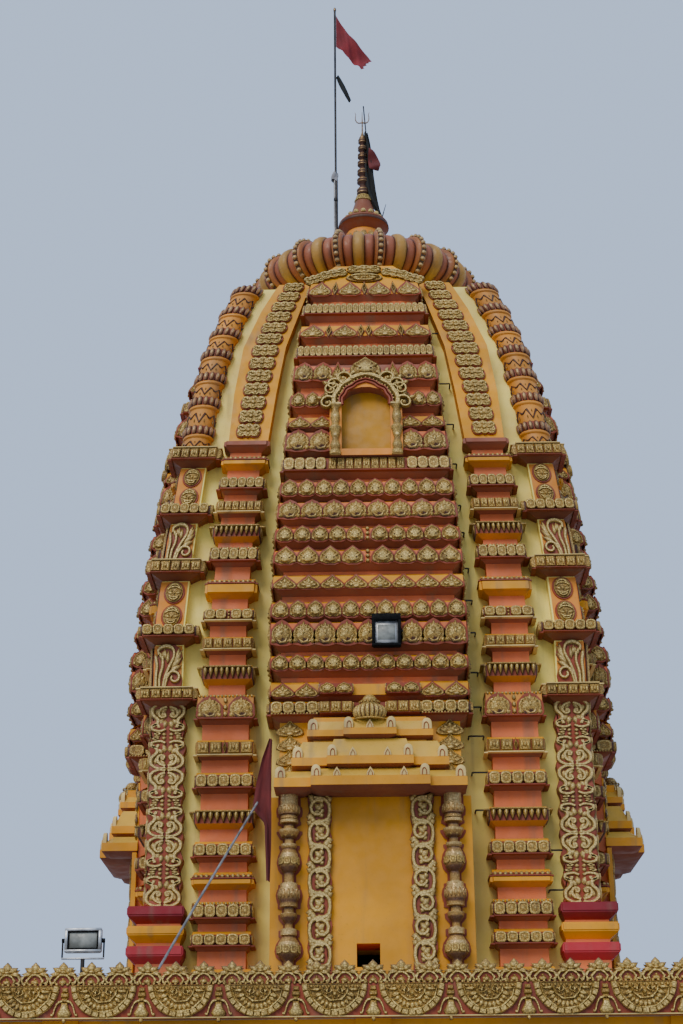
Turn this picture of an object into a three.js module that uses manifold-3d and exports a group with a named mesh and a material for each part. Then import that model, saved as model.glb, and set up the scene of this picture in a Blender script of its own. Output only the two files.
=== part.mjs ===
// A Hindu temple: a curved tower over a square sanctum, with an open pillared hall around it.
// Millimetres, +Z up, the front towards -Y, the origin on the ground under the tower's axis.
import * as THREE from "three";
import { mergeVertices } from "three/addons/utils/BufferGeometryUtils.js";
import Module from "manifold-3d";

const wasm = await Module();
wasm.setup();

// Clearance between pieces that touch
const GAP = 0.3;

// Ground storey
const FLOOR_TOP = 150;
const SOFFIT = 3490;
const ROOF_TOP = 3650;
const MEDALLION_PITCH = 710;
const HALL_SIDE = 9 * MEDALLION_PITCH;
const HALL_FRONT = -8060;
const HALL_BACK = HALL_FRONT + 20 * MEDALLION_PITCH;
const PARAPET_THICK = 130;
const PARAPET_TOP = 3790;
const CREST_THICK = 70;
const CREST_TOP = 3960;
const PLINTH_SETBACK = 60;
const COLUMN = 330;
const COLUMN_BASE = 430;
const COLUMN_BASE_TOP = 380;
const COLUMN_PITCH_X = 2900;
const COLUMN_SETBACK = 315;
const SIDE_BAYS = 5;
const BEAM_WIDE = 230;
const BEAM_DEEP = 300;
const SANCTUM_OUT = 3000;
const SANCTUM_IN = 2200;
const DOOR_HALF = 600;
const DOOR_TOP = 2250;

// Tower: half widths at its foot, and how they narrow with height
const WALL_OUT = 2620;
const WALL_IN = 2220;
const WALL_TOP = 14600;
const TAPER = [
  [9000, 1],
  [9900, 0.974],
  [10800, 0.937],
  [11700, 0.897],
  [12500, 0.857],
  [13300, 0.803],
  [14000, 0.725],
  [14500, 0.657],
  [15000, 0.575],
];
const BEVEL = 80;

// Corner piers: bands run all round both outer faces, and bell units stand above them
const CORNER_BASE = { shaft: { inner: 2340, outer: 2875 }, band: { inner: 2300, outer: 2975 } };
const CORNER_BASE_TOP = 5380;
const CORNER_UPPER = { shaft: { inner: 2400, outer: 2770 }, band: { inner: 2250, outer: 2930 } };
const CORNER_TOP = 11660;
const CORNER_BANDS = [
  [4320, 4460],
  [4780, 4900],
  [5030, 5140],
  [5260, CORNER_BASE_TOP],
  [8000, 8110],
  [8850, 8970],
  [9750, 9880],
  [10600, 10730],
  [11460, 11590],
];
const BELL_RINGS = [11965, 12435, 12845, 13255, 13645, 14055, 14485];
const BELL_RADIUS = { drum: 190, ring: 225, neck: 170 };
const RING_HALF = 70;

// Side piers: bands on a straight shaft, then a curved slab up to the crown
const SIDE_LOWER = { shaft: { inner: 1540, outer: 2130 }, band: { inner: 1475, outer: 2185 } };
const SIDE_LOWER_TOP = 8010;
const SIDE_UPPER = { shaft: { inner: 1590, outer: 2060 }, band: { inner: 1500, outer: 2130 } };
const SIDE_SHAFT_FACE = 2850;
const SIDE_BAND_FACE = 2965;
const SIDE_BEVEL = 55;
const SIDE_BANDS = [
  [4440, 4580],
  [4900, 5030],
  [5230, 5390],
  [5640, 5750],
  [5980, 6130],
  [6390, 6530],
  [6840, 7000],
  [7270, 7420],
  [7730, SIDE_LOWER_TOP],
  [8250, 8400],
  [8660, 8790],
  [9050, 9180],
  [9430, 9600],
  [9890, 10060],
  [10250, 10390],
  [10630, 10770],
  [10970, 11130],
  [11350, 11460],
  [11630, 11720],
];
const RIB_FACE = 2920;
const RIB = [
  [11720, 1500, 2100],
  [12500, 1450, 2130],
  [13300, 1395, 2140],
  [14000, 1280, 2050],
  [14420, 1225, 1960],
  [14500, 1225, 1935],
  [14560, 1225, 1915],
];

// Central piers: bands between the canopy of the lower niche and the crown piece
const CENTRE_SHAFT_FACE = 3120;
const CENTRE_BAND_FACE = 3270;
const CENTRE_HALF = [
  [3650, 1240],
  [10000, 1240],
  [13000, 1140],
];
const CENTRE_BAND_REACH = 120;
const CENTRE_BANDS = [
  [7680, 7830],
  [7930, 8070],
  [8280, 8420],
  [8620, 8880],
  [8980, 9150],
  [9380, 9530],
  [9730, 9890],
  [10060, 10220],
  [10400, 10610],
  [10740, 10920],
  [11100, 11290],
  [11440, 11700],
  [11800, 11940],
  [12140, 12310],
  [12570, 12810],
  [12950, 13130],
  [13330, 13520],
  [13750, 13940],
  [14160, 14400],
];
const CROWN = { bottom: 14420, top: 14820, halfBottom: 795, halfTop: 420, face: 3220 };
const UPPER_NICHE_FACE = 3370;
const UPPER_NICHE = [
  [11300, 490],
  [11700, 490],
  [12150, 490],
  [12400, 440],
  [12500, 385],
  [12620, 290],
  [12760, 120],
];
const UPPER_PANEL_FACE = 3150;
const UPPER_PANEL = [
  [11400, 330],
  [11700, 330],
  [12150, 330],
  [12270, 290],
  [12350, 200],
  [12390, 60],
];

// Lower niche, its canopy and the vent through the wall
const NICHE_HALF = 1235;
const NICHE_SILL = 4300;
const NICHE_TOP = 6650;
const NICHE_PLATE_FACE = 3180;
const NICHE_SILL_FACE = 3390;
const SCROLL_STRIP = { inner: 480, outer: 780, face: 3240 };
const PILLAR = { x: 1000, y: 3290, radius: 100, bulge: 130 };
const CANOPY_STEPS = [
  [6650, 1060, 3480],
  [6690, 1175, 3600],
  [6800, 1175, 3600],
  [6930, 890, 3460],
  [6970, 965, 3510],
  [7070, 965, 3510],
  [7320, 700, 3380],
  [7360, 780, 3430],
  [7440, 780, 3430],
  [7560, 420, 3370],
];
const CANOPY_CENTRE = 0.6;
const CANOPY_CENTRE_OUT = 90;
const CANOPY_DISC = { rx: 200, ry: 110, y: 3400, bottom: 7550, top: 7740 };
const SIDE_NICHE_DROP = 270;
const VENT = { left: -190, right: 90, bottom: 4600, top: 4876 };

// Crown: top slab, neck, ribbed disc, bell cap, finial and flag
const TOP_SLAB = 14750;
const TOP_SLAB_HALF = 1260;
const NECK_RADIUS = 1250;
const DISC_BOTTOM = 15040;
const DISC_TOP = 15710;
const DISC_RADIUS = 1730;
const CAP_RIM = 395;
const CAP_TOP = 17220;
const SPIRE_TOP = 18340;
const TRIDENT_TOP = 18930;
const POLE = { x: -440, y: 0, foot: 80, footTop: 40, sides: 8, top: 20940 };
const PIPE = [
  [15760, 32],
  [17140, 32],
  [17200, 24],
  [17600, 24],
  [17640, 18],
];
const CLOTH_THICK = 12;
const FLAG = [
  [0, 20770],
  [0, 20140],
  [430, 19660],
  [585, 19860],
  [443, 20070],
  [294, 20250],
];
const STREAMER = [
  [0, 19540],
  [0, 19450],
  [200, 19040],
  [255, 19070],
];

// Lamps
const TOWER_LAMP = { left: 40, right: 410, bottom: 8530, top: 8960, deep: 110 };
const ROOF_LAMP = { x: -2750, y: -7700, half: 175, bottom: 4135, top: 4365, deep: 90 };

// Colours seen on the real building
const WALL_YELLOW = 0xc9bd6a;
const OCHRE = 0xdf9d33;
const CORAL = 0xd9744a;
const GOLD = 0xb08a3c;
const MAROON = 0x7a2a22;
const GREY = 0x9a9a98;
const BLACK = 0x1c1c1e;

const FACES = ["front", "right", "back", "left"];
const CORNERS = ["front_left", "front_right", "back_right", "back_left"];
const temple = new THREE.Group();

function material(color, roughness = 0.75, metalness = 0) {
  return new THREE.MeshStandardMaterial({ color, roughness, metalness });
}

function addPiece(name, geometry, color, turn = 0, roughness, metalness) {
  const mesh = new THREE.Mesh(geometry, material(color, roughness, metalness));
  mesh.name = name;
  mesh.rotation.z = (turn * Math.PI) / 2;
  temple.add(mesh);
  return mesh;
}

// The value at z on a line through [z, value] points, level beyond its ends
function along(points, z) {
  const next = points.findIndex(([at]) => at >= z);
  if (next === 0) return points[0][1];
  if (next < 0) return points[points.length - 1][1];
  const [z0, v0] = points[next - 1];
  const [z1, v1] = points[next];
  return v0 + ((v1 - v0) * (z - z0)) / (z1 - z0);
}

const taper = (z) => along(TAPER, z);
const mix = (a, b, t) => a + (b - a) * t;

// A closed solid through level sections, each { z, points } with its points counter-clockwise
function loft(sections) {
  const size = sections[0].points.length;
  const positions = sections.flatMap(({ z, points }) => points.flatMap(([x, y]) => [x, y, z]));
  const index = [];
  for (let level = 0; level + 1 < sections.length; level++) {
    for (let i = 0; i < size; i++) {
      const a = level * size + i;
      const b = level * size + ((i + 1) % size);
      index.push(a, b, b + size, a, b + size, a + size);
    }
  }
  const cap = ({ points }) =>
    THREE.ShapeUtils.triangulateShape(
      points.map(([x, y]) => new THREE.Vector2(x, y)),
      [],
    );
  for (const [a, b, c] of cap(sections[0])) index.push(c, b, a);
  const top = (sections.length - 1) * size;
  for (const [a, b, c] of cap(sections[sections.length - 1])) index.push(top + a, top + b, top + c);
  const geometry = new THREE.BufferGeometry();
  geometry.setAttribute("position", new THREE.Float32BufferAttribute(positions, 3));
  geometry.setIndex(index);
  return geometry;
}

function rectangle(x0, x1, y0, y1) {
  return [
    [x0, y0],
    [x1, y0],
    [x1, y1],
    [x0, y1],
  ];
}

function box(x0, x1, y0, y1, z0, z1) {
  const points = rectangle(x0, x1, y0, y1);
  return loft([
    { z: z0, points },
    { z: z1, points },
  ]);
}

// Level sections with sides of a regular polygon, from { z, radius } and a centre
function drum(levels, sides, x = 0, y = 0, ry = 1) {
  return loft(
    levels.map(([z, radius]) => ({
      z,
      points: Array.from({ length: sides }, (_, i) => {
        const angle = ((i + 0.5) * 2 * Math.PI) / sides;
        return [x + radius * Math.cos(angle), y + radius * ry * Math.sin(angle)];
      }),
    })),
  );
}

function toSolid(geometry) {
  const bare = geometry.clone();
  for (const name of Object.keys(bare.attributes)) {
    if (name !== "position") bare.deleteAttribute(name);
  }
  const merged = mergeVertices(bare, 1e-3);
  return new wasm.Manifold(
    new wasm.Mesh({
      numProp: 3,
      vertProperties: merged.attributes.position.array,
      triVerts: new Uint32Array(merged.index.array),
    }),
  );
}

function toGeometry(solid) {
  const mesh = solid.getMesh();
  const geometry = new THREE.BufferGeometry();
  geometry.setAttribute("position", new THREE.BufferAttribute(mesh.vertProperties, 3));
  geometry.setIndex(new THREE.BufferAttribute(mesh.triVerts, 1));
  return geometry;
}

const join = (...pieces) => pieces.map(toSolid).reduce((a, b) => a.add(b));
const joined = (...pieces) => toGeometry(join(...pieces));

// Levels of a banded pier: step is 0 on the shaft and 1 on a band, which a bevel leads out to
function bandLevels(bands, bottom, top, bevel = BEVEL) {
  const levels = [{ z: bottom, step: 0 }];
  for (const [low, high] of bands) {
    levels.push({ z: low - bevel, step: 0 });
    levels.push({ z: low, step: 1 });
    levels.push({ z: high, step: 1 });
    levels.push({ z: high, step: 0 });
  }
  levels.push({ z: top, step: 0 });
  return withKnots(levels);
}

// The same levels with one more wherever the wall behind changes its slope
function withKnots(levels) {
  return levels.flatMap((level, i) => {
    const next = levels[i + 1];
    if (!next) return [level];
    const between = TAPER.filter(([z]) => z > level.z + 1 && z < next.z - 1);
    const added = between.map(([z]) => ({
      z,
      step: mix(level.step, next.step, (z - level.z) / (next.z - level.z)),
    }));
    return [level, ...added];
  });
}

const wallFace = (z) => -WALL_OUT * taper(z) - GAP;

// A pier's own size changes at the top of one of its bands, where the shaft above starts
const above = (z, step, change) => z > change || (z === change && step === 0);

// Ground storey

function addFloorAndRoof() {
  const side = HALL_SIDE - PLINTH_SETBACK;
  const floor = box(-side, side, HALL_FRONT + PLINTH_SETBACK, HALL_BACK - PLINTH_SETBACK, 0, FLOOR_TOP);
  addPiece("plinth_floor", floor, GREY);
  const edge = HALL_SIDE - PARAPET_THICK - GAP;
  const front = HALL_FRONT + PARAPET_THICK + GAP;
  const back = HALL_BACK - PARAPET_THICK - GAP;
  addPiece("roof_slab", box(-edge, edge, front, back, SOFFIT, ROOF_TOP), GREY);
}

function column(x, y) {
  const ring = (half) => rectangle(x - half, x + half, y - half, y + half);
  return loft([
    { z: FLOOR_TOP + GAP, points: ring(COLUMN_BASE / 2) },
    { z: COLUMN_BASE_TOP, points: ring(COLUMN_BASE / 2) },
    { z: COLUMN_BASE_TOP, points: ring(COLUMN / 2) },
    { z: SOFFIT - GAP, points: ring(COLUMN / 2) },
  ]);
}

function addColonnades() {
  const low = SOFFIT - BEAM_DEEP;
  const high = SOFFIT - GAP;
  const half = BEAM_WIDE / 2;
  const reach = 2 * COLUMN_PITCH_X;
  const rows = { front: HALL_FRONT + COLUMN_SETBACK, back: HALL_BACK - COLUMN_SETBACK };
  for (const [name, y] of Object.entries(rows)) {
    const posts = [-2, -1, 0, 1, 2].map((i) => column(i * COLUMN_PITCH_X, y));
    const beam = box(-reach, reach, y - half, y + half, low, high);
    addPiece("colonnade_" + name, joined(beam, ...posts), CORAL);
  }
  const pitch = (rows.back - rows.front) / SIDE_BAYS;
  const end = COLUMN / 2 + GAP;
  for (const [name, x] of Object.entries({ left: -reach, right: reach })) {
    const posts = [1, 2, 3, 4].map((i) => column(x, rows.front + i * pitch));
    const beam = box(x - half, x + half, rows.front + end, rows.back - end, low, high);
    addPiece("colonnade_" + name, joined(beam, ...posts), CORAL);
  }
}

function addParapets() {
  const wall = (x0, x1, y0, y1) => box(x0, x1, y0, y1, SOFFIT, PARAPET_TOP);
  const crest = (x0, x1, y0, y1) => box(x0, x1, y0, y1, PARAPET_TOP - 1, CREST_TOP);
  const inset = (PARAPET_THICK - CREST_THICK) / 2;
  for (const [name, y0] of Object.entries({ front: HALL_FRONT, back: HALL_BACK - PARAPET_THICK })) {
    const y1 = y0 + PARAPET_THICK;
    const body = wall(-HALL_SIDE, HALL_SIDE, y0, y1);
    const top = crest(-HALL_SIDE, HALL_SIDE, y0 + inset, y1 - inset);
    addPiece("parapet_" + name, joined(body, top), GOLD);
  }
  const y0 = HALL_FRONT + PARAPET_THICK + GAP;
  const y1 = HALL_BACK - PARAPET_THICK - GAP;
  for (const [name, x0] of Object.entries({ left: -HALL_SIDE, right: HALL_SIDE - PARAPET_THICK })) {
    const x1 = x0 + PARAPET_THICK;
    const body = wall(x0, x1, y0, y1);
    const top = crest(x0 + inset, x1 - inset, y0, y1);
    addPiece("parapet_" + name, joined(body, top), GOLD);
  }
}

function addSanctum() {
  const low = FLOOR_TOP + GAP;
  const high = SOFFIT - GAP;
  const out = SANCTUM_OUT;
  const inn = SANCTUM_IN;
  const left = box(-out, -DOOR_HALF, -out, -inn, low, high);
  const right = box(DOOR_HALF, out, -out, -inn, low, high);
  const lintel = box(-DOOR_HALF + GAP, DOOR_HALF - GAP, -out, -inn, DOOR_TOP, high);
  addPiece("sanctum_wall_front_left", left, OCHRE);
  addPiece("sanctum_wall_front_right", right, OCHRE);
  addPiece("sanctum_door_lintel", lintel, MAROON);
  addPiece("sanctum_wall_back", box(-out, out, inn, out, low, high), OCHRE);
  const sideY = inn - GAP;
  addPiece("sanctum_wall_left", box(-out, -inn, -sideY, sideY, low, high), OCHRE);
  addPiece("sanctum_wall_right", box(inn, out, -sideY, sideY, low, high), OCHRE);
}

// Tower

// The vent's hole, open at its head, where the masonry above it is a piece of its own
const ventNotch = () =>
  toSolid(box(VENT.left, VENT.right, -NICHE_SILL_FACE, -WALL_IN + 100, VENT.bottom, VENT.top + GAP));

// Adds a piece in two parts where the vent goes through it: the foot, up to the vent's head, and the rest
function addPierced(name, geometry, color) {
  const solid = toSolid(geometry);
  const foot = solid.trimByPlane([0, 0, -1], -VENT.top).subtract(ventNotch());
  addPiece(name + "_foot", toGeometry(foot), color);
  addPiece(name, toGeometry(solid.trimByPlane([0, 0, 1], VENT.top + GAP)), color);
}

function addTowerWalls() {
  const levels = withKnots([
    { z: ROOF_TOP + GAP, step: 0 },
    { z: WALL_TOP, step: 0 },
  ]);
  FACES.forEach((face, turn) => {
    const alongFace = turn % 2 === 0 ? WALL_OUT : WALL_IN;
    const clear = turn % 2 === 0 ? 0 : GAP;
    const geometry = loft(
      levels.map(({ z }) => {
        const half = alongFace * taper(z) - clear;
        return { z, points: rectangle(-half, half, -WALL_OUT * taper(z), -WALL_IN * taper(z)) };
      }),
    );
    if (face === "front") addPierced("tower_wall_front", geometry, WALL_YELLOW);
    else addPiece("tower_wall_" + face, geometry, WALL_YELLOW, turn);
  });
}

function cornerSection(z, step) {
  const { shaft, band } = above(z, step, CORNER_BASE_TOP) ? CORNER_UPPER : CORNER_BASE;
  const inner = -mix(shaft.inner, band.inner, step) * taper(z);
  const outer = -mix(shaft.outer, band.outer, step) * taper(z);
  const wall = wallFace(z);
  return [
    [outer, outer],
    [inner, outer],
    [inner, wall],
    [wall, wall],
    [wall, inner],
    [outer, inner],
  ];
}

function addCornerPiers() {
  const levels = bandLevels(CORNER_BANDS, ROOF_TOP + GAP, CORNER_TOP);
  const sections = levels.map(({ z, step }) => ({ z, points: cornerSection(z, step) }));
  CORNERS.forEach((corner, turn) => {
    addPiece("corner_pier_" + corner, loft(sections), OCHRE, turn);
  });
}

// Three quarters of a drum, wrapped round the wall's corner
function bellSection(z, radius) {
  const wall = wallFace(z);
  const arc = [2, 3, 4, 5, 6, 7, 8].map((eighth) => {
    const angle = (eighth * Math.PI) / 4;
    return [wall + radius * Math.cos(angle), wall + radius * Math.sin(angle)];
  });
  return [[wall, wall], ...arc];
}

function addCornerBells() {
  const levels = [{ z: CORNER_TOP + GAP, radius: BELL_RADIUS.drum }];
  for (const z of BELL_RINGS) {
    levels.push({ z: z - RING_HALF, radius: BELL_RADIUS.drum });
    levels.push({ z, radius: BELL_RADIUS.ring });
    levels.push({ z: z + RING_HALF, radius: BELL_RADIUS.neck });
  }
  const knotted = levels.flatMap((level, i) => {
    const next = levels[i + 1];
    if (!next) return [level];
    const between = TAPER.filter(([z]) => z > level.z + 1 && z < next.z - 1);
    const at = (z) => mix(level.radius, next.radius, (z - level.z) / (next.z - level.z));
    return [level, ...between.map(([z]) => ({ z, radius: at(z) }))];
  });
  const sections = knotted.map(({ z, radius }) => ({ z, points: bellSection(z, radius) }));
  CORNERS.forEach((corner, turn) => {
    addPiece("corner_bells_" + corner, loft(sections), GOLD, turn);
  });
}

function sideSection(z, step) {
  const k = taper(z);
  const { shaft, band } = above(z, step, SIDE_LOWER_TOP) ? SIDE_UPPER : SIDE_LOWER;
  const x0 = mix(shaft.inner, band.inner, step) * k;
  const x1 = mix(shaft.outer, band.outer, step) * k;
  const face = -mix(SIDE_SHAFT_FACE, SIDE_BAND_FACE, step) * k;
  return rectangle(x0, x1, face, wallFace(z));
}

function mirrorSection({ z, points }) {
  return { z, points: points.map(([x, y]) => [-x, y]).reverse() };
}

function addSidePiers() {
  const straightTop = RIB[0][0];
  const levels = bandLevels(SIDE_BANDS, ROOF_TOP + GAP, straightTop, SIDE_BEVEL);
  const sections = levels.slice(0, -2).map(({ z, step }) => ({ z, points: sideSection(z, step) }));
  for (const [z, inner, outer] of RIB) {
    const k = taper(z);
    sections.push({ z, points: rectangle(inner * k, outer * k, -RIB_FACE * k, wallFace(z)) });
  }
  FACES.forEach((face, turn) => {
    addPiece("side_pier_" + face + "_right", loft(sections), CORAL, turn);
    addPiece("side_pier_" + face + "_left", loft(sections.map(mirrorSection)), CORAL, turn);
  });
}

function centreSection(z, step) {
  const k = taper(z);
  const half = (along(CENTRE_HALF, z) - mix(CENTRE_BAND_REACH, 0, step)) * k;
  const face = -mix(CENTRE_SHAFT_FACE, CENTRE_BAND_FACE, step) * k;
  return rectangle(-half, half, face, wallFace(z));
}

function addCentrePiers() {
  const levels = bandLevels(CENTRE_BANDS, ROOF_TOP + GAP, CROWN.bottom);
  const sections = levels.map(({ z, step }) => ({ z, points: centreSection(z, step) }));
  for (const [z, half] of [
    [CROWN.bottom, CROWN.halfBottom],
    [14500, mix(CROWN.halfBottom, CROWN.halfTop, 0.2)],
    [CROWN.top, CROWN.halfTop],
  ]) {
    const points = rectangle(-half, half, -CROWN.face * taper(z), wallFace(z));
    sections.push({ z, points });
  }
  const frame = leaningArch(UPPER_NICHE, UPPER_NICHE_FACE, CENTRE_SHAFT_FACE - 20);
  const recess = leaningArch(UPPER_PANEL, UPPER_NICHE_FACE + 60, UPPER_PANEL_FACE);
  const pier = toGeometry(toSolid(loft(sections)).add(toSolid(frame)).subtract(toSolid(recess)));
  FACES.forEach((name, turn) => {
    if (name === "front") addPierced("centre_pier_front", pier, CORAL);
    else addPiece("centre_pier_" + name, pier, CORAL, turn);
  });
}

// An arch given by [z, half width] points, leaning with the tower from its face back to a depth
function leaningArch(outline, face, depth) {
  return loft(
    outline.map(([z, half]) => ({ z, points: rectangle(-half, half, -face * taper(z), -depth * taper(z)) })),
  );
}

// Lower niche with its stepped canopy

function canopy(drop) {
  const main = loft(
    CANOPY_STEPS.map(([z, half, face]) => ({
      z: z - drop,
      points: rectangle(-half, half, -face, -CENTRE_SHAFT_FACE - GAP),
    })),
  );
  const middle = loft(
    CANOPY_STEPS.slice(0, -1).map(([z, half, face]) => {
      const reach = half * CANOPY_CENTRE;
      const points = rectangle(-reach, reach, -face - CANOPY_CENTRE_OUT, -CENTRE_SHAFT_FACE - 100);
      return { z: z - drop, points };
    }),
  );
  const { rx, ry, y, bottom, top } = CANOPY_DISC;
  const levels = [
    [bottom - drop - 40, rx * 0.7],
    [mix(bottom, top, 0.5) - drop, rx],
    [top - drop, rx * 0.5],
  ];
  return [main, middle, drum(levels, 10, 0, -y, ry / rx)];
}

function nichePillar(x) {
  const { y, radius, bulge } = PILLAR;
  const high = NICHE_TOP - NICHE_SILL;
  const at = (share) => NICHE_SILL + share * high;
  const levels = [
    [NICHE_SILL - 5, bulge],
    [at(0.1), bulge],
    [at(0.14), radius],
    [at(0.5), bulge],
    [at(0.6), bulge],
    [at(0.92), radius],
    [NICHE_TOP + 5, bulge],
  ];
  return drum(levels, 8, x, -y);
}

// Only the front niche has turned pillars; the canopies of the others sit lower by the given drop
function niche(drop, ...pillars) {
  const back = -CENTRE_SHAFT_FACE - GAP;
  const top = NICHE_TOP - drop + 5;
  const plate = box(-NICHE_HALF, NICHE_HALF, -NICHE_PLATE_FACE, back, NICHE_SILL - 5, top);
  const sill = box(-NICHE_HALF, NICHE_HALF, -NICHE_SILL_FACE, back, ROOF_TOP + GAP, NICHE_SILL);
  const strip = (x0, x1) => box(x0, x1, -SCROLL_STRIP.face, back, NICHE_SILL - 5, top);
  const strips = [
    strip(SCROLL_STRIP.inner, SCROLL_STRIP.outer),
    strip(-SCROLL_STRIP.outer, -SCROLL_STRIP.inner),
  ];
  return joined(plate, sill, ...strips, ...pillars, ...canopy(drop));
}

function addNiches() {
  const plain = niche(SIDE_NICHE_DROP);
  FACES.forEach((face, turn) => {
    if (turn > 0) addPiece("niche_" + face, plain, OCHRE, turn);
  });
  const back = -CENTRE_SHAFT_FACE - GAP;
  const front = niche(0, nichePillar(PILLAR.x), nichePillar(-PILLAR.x));
  const half = SCROLL_STRIP.inner;
  const gate = box(-half, half, -NICHE_PLATE_FACE - 10, back + 10, NICHE_SILL, VENT.top + GAP);
  addPiece("niche_front", toGeometry(toSolid(front).subtract(toSolid(gate))), OCHRE);
  const edge = half - GAP;
  const panel = box(-edge, edge, -NICHE_PLATE_FACE, back, NICHE_SILL + GAP, VENT.top);
  addPiece("niche_front_foot", toGeometry(toSolid(panel).subtract(ventNotch())), OCHRE);
}

// Crown and finial

function addCrown() {
  const square = (half) => rectangle(-half, half, -half, half);
  const slab = loft([
    { z: WALL_TOP + GAP, points: square(WALL_OUT * taper(WALL_TOP) - BEVEL) },
    { z: TOP_SLAB, points: square(TOP_SLAB_HALF) },
  ]);
  addPiece("tower_top_slab", slab, WALL_YELLOW);
  const neck = drum(
    [
      [TOP_SLAB + GAP, NECK_RADIUS],
      [DISC_BOTTOM - GAP, NECK_RADIUS],
    ],
    24,
  );
  addPiece("crown_neck", neck, OCHRE);
  const deep = DISC_TOP - DISC_BOTTOM;
  const disc = drum(
    [
      [DISC_BOTTOM, DISC_RADIUS - 330],
      [DISC_BOTTOM + deep * 0.12, DISC_RADIUS - 130],
      [DISC_BOTTOM + deep * 0.35, DISC_RADIUS],
      [DISC_BOTTOM + deep * 0.65, DISC_RADIUS],
      [DISC_BOTTOM + deep * 0.88, DISC_RADIUS - 130],
      [DISC_TOP, DISC_RADIUS - 420],
    ],
    32,
  );
  addPiece("ribbed_disc", disc, GOLD);
  const cap = drum(
    [
      [DISC_TOP + GAP, 340],
      [DISC_TOP + 250, 340],
      [DISC_TOP + 400, 260],
      [16380, 260],
      [16480, 300],
      [16500, CAP_RIM],
      [16660, CAP_RIM],
      [16720, 340],
      [16800, 240],
      [16860, 200],
      [16930, 165],
      [17110, 125],
      [CAP_TOP, 100],
    ],
    12,
  );
  addPiece("bell_cap", cap, MAROON);
}

function addFinial() {
  const levels = [[CAP_TOP + GAP, 80]];
  const discs = 7;
  const pitch = (SPIRE_TOP - CAP_TOP) / discs;
  for (let i = 0; i < discs; i++) {
    const z = CAP_TOP + pitch * (i + 0.5);
    const radius = mix(98, 68, i / (discs - 1));
    levels.push([z - pitch * 0.45, radius * 0.6]);
    levels.push([z, radius]);
  }
  levels.push([SPIRE_TOP + 100, 22]);
  levels.push([TRIDENT_TOP, 14]);
  const arm = SPIRE_TOP + 230;
  const crossbar = box(-115, 115, -14, 14, arm, arm + 30);
  const prong = (x) => box(x - 14, x + 14, -14, 14, arm, arm + 210);
  addPiece("finial", joined(drum(levels, 8), crossbar, prong(-101), prong(101)), GOLD, 0, 0.5, 0.4);
}

function addFlag() {
  const foot = DISC_TOP + GAP;
  const { x, y, top } = POLE;
  const [, thin] = PIPE[PIPE.length - 1];
  const levels = [[foot, POLE.foot], [foot + POLE.footTop, POLE.foot], ...PIPE, [top, thin]];
  addPiece("flag_pole", drum(levels, POLE.sides, x, y), GREY, 0, 0.5, 0.6);
  const near = x + thin * Math.cos(Math.PI / POLE.sides) + GAP;
  const cloth = (outline) => {
    const shape = new THREE.Shape(outline.map(([out, z]) => new THREE.Vector2(near + out, z)));
    const geometry = new THREE.ExtrudeGeometry(shape, { depth: CLOTH_THICK, bevelEnabled: false });
    geometry.rotateX(Math.PI / 2);
    geometry.translate(0, y + CLOTH_THICK / 2, 0);
    return joined(geometry);
  };
  addPiece("flag", cloth(FLAG), 0xa01c2c);
  addPiece("streamer", cloth(STREAMER), BLACK);
}

function addLamps() {
  const lamp = TOWER_LAMP;
  const face = -CENTRE_BAND_FACE - GAP;
  const body = box(lamp.left, lamp.right, face - lamp.deep, face, lamp.bottom, lamp.top);
  addPiece("tower_lamp", body, BLACK, 0, 0.4);
  const { x, y, half, bottom, top, deep } = ROOF_LAMP;
  const head = box(x - half, x + half, y - deep / 2, y + deep / 2, bottom, top);
  const post = box(x - 20, x + 20, y - 20, y + 20, ROOF_TOP + GAP, bottom + 20);
  const foot = box(x - 90, x + 90, y - 60, y + 60, ROOF_TOP + GAP, ROOF_TOP + 12);
  addPiece("roof_lamp", joined(head, post, foot), BLACK, 0, 0.4);
}

addFloorAndRoof();
addColonnades();
addParapets();
addSanctum();
addTowerWalls();
addCornerPiers();
addCornerBells();
addSidePiers();
addCentrePiers();
addNiches();
addCrown();
addFinial();
addFlag();
addLamps();

export default temple;
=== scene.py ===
import math

import bpy
import numpy as np
from mathutils import Matrix, Vector


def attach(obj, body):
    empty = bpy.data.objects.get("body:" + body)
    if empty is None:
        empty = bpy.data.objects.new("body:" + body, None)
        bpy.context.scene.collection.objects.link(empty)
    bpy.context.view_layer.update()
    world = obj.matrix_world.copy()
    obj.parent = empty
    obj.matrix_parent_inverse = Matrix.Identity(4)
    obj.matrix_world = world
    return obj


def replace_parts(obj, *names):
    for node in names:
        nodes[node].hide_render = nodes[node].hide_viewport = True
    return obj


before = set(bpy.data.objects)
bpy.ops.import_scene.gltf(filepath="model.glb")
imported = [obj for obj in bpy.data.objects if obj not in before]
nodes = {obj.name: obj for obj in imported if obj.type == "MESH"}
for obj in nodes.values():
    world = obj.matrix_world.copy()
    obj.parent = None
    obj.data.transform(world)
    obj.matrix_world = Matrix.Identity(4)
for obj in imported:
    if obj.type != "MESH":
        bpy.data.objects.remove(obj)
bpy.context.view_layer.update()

FACES = ["front", "right", "back", "left"]
CORNERS = ["front_left", "front_right", "back_right", "back_left"]
SIDES = (-1, 1)
WALL = 2.62  # half width of the tower's foot, in metres
FULL = (0.2, 1.0)  # a carving's usual lift at its foot and at its crest
PROUD = (0.4, 1)  # the lift of a part that stands on another


# Taper: how far the tower has narrowed at each height, read from the back wall


def read_taper():
    rows = {}
    for v in nodes["tower_wall_back"].data.vertices:
        z = round(v.co.z, 4)
        rows[z] = max(rows.get(z, 0.0), v.co.y)
    heights = sorted(rows)
    crown_height, crown_taper = 15.0, 0.575
    return [*heights, crown_height], [*(rows[z] / WALL for z in heights), crown_taper]


TAPER_Z, TAPER_K = read_taper()


def taper(z):
    return np.interp(z, TAPER_Z, TAPER_K)


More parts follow.
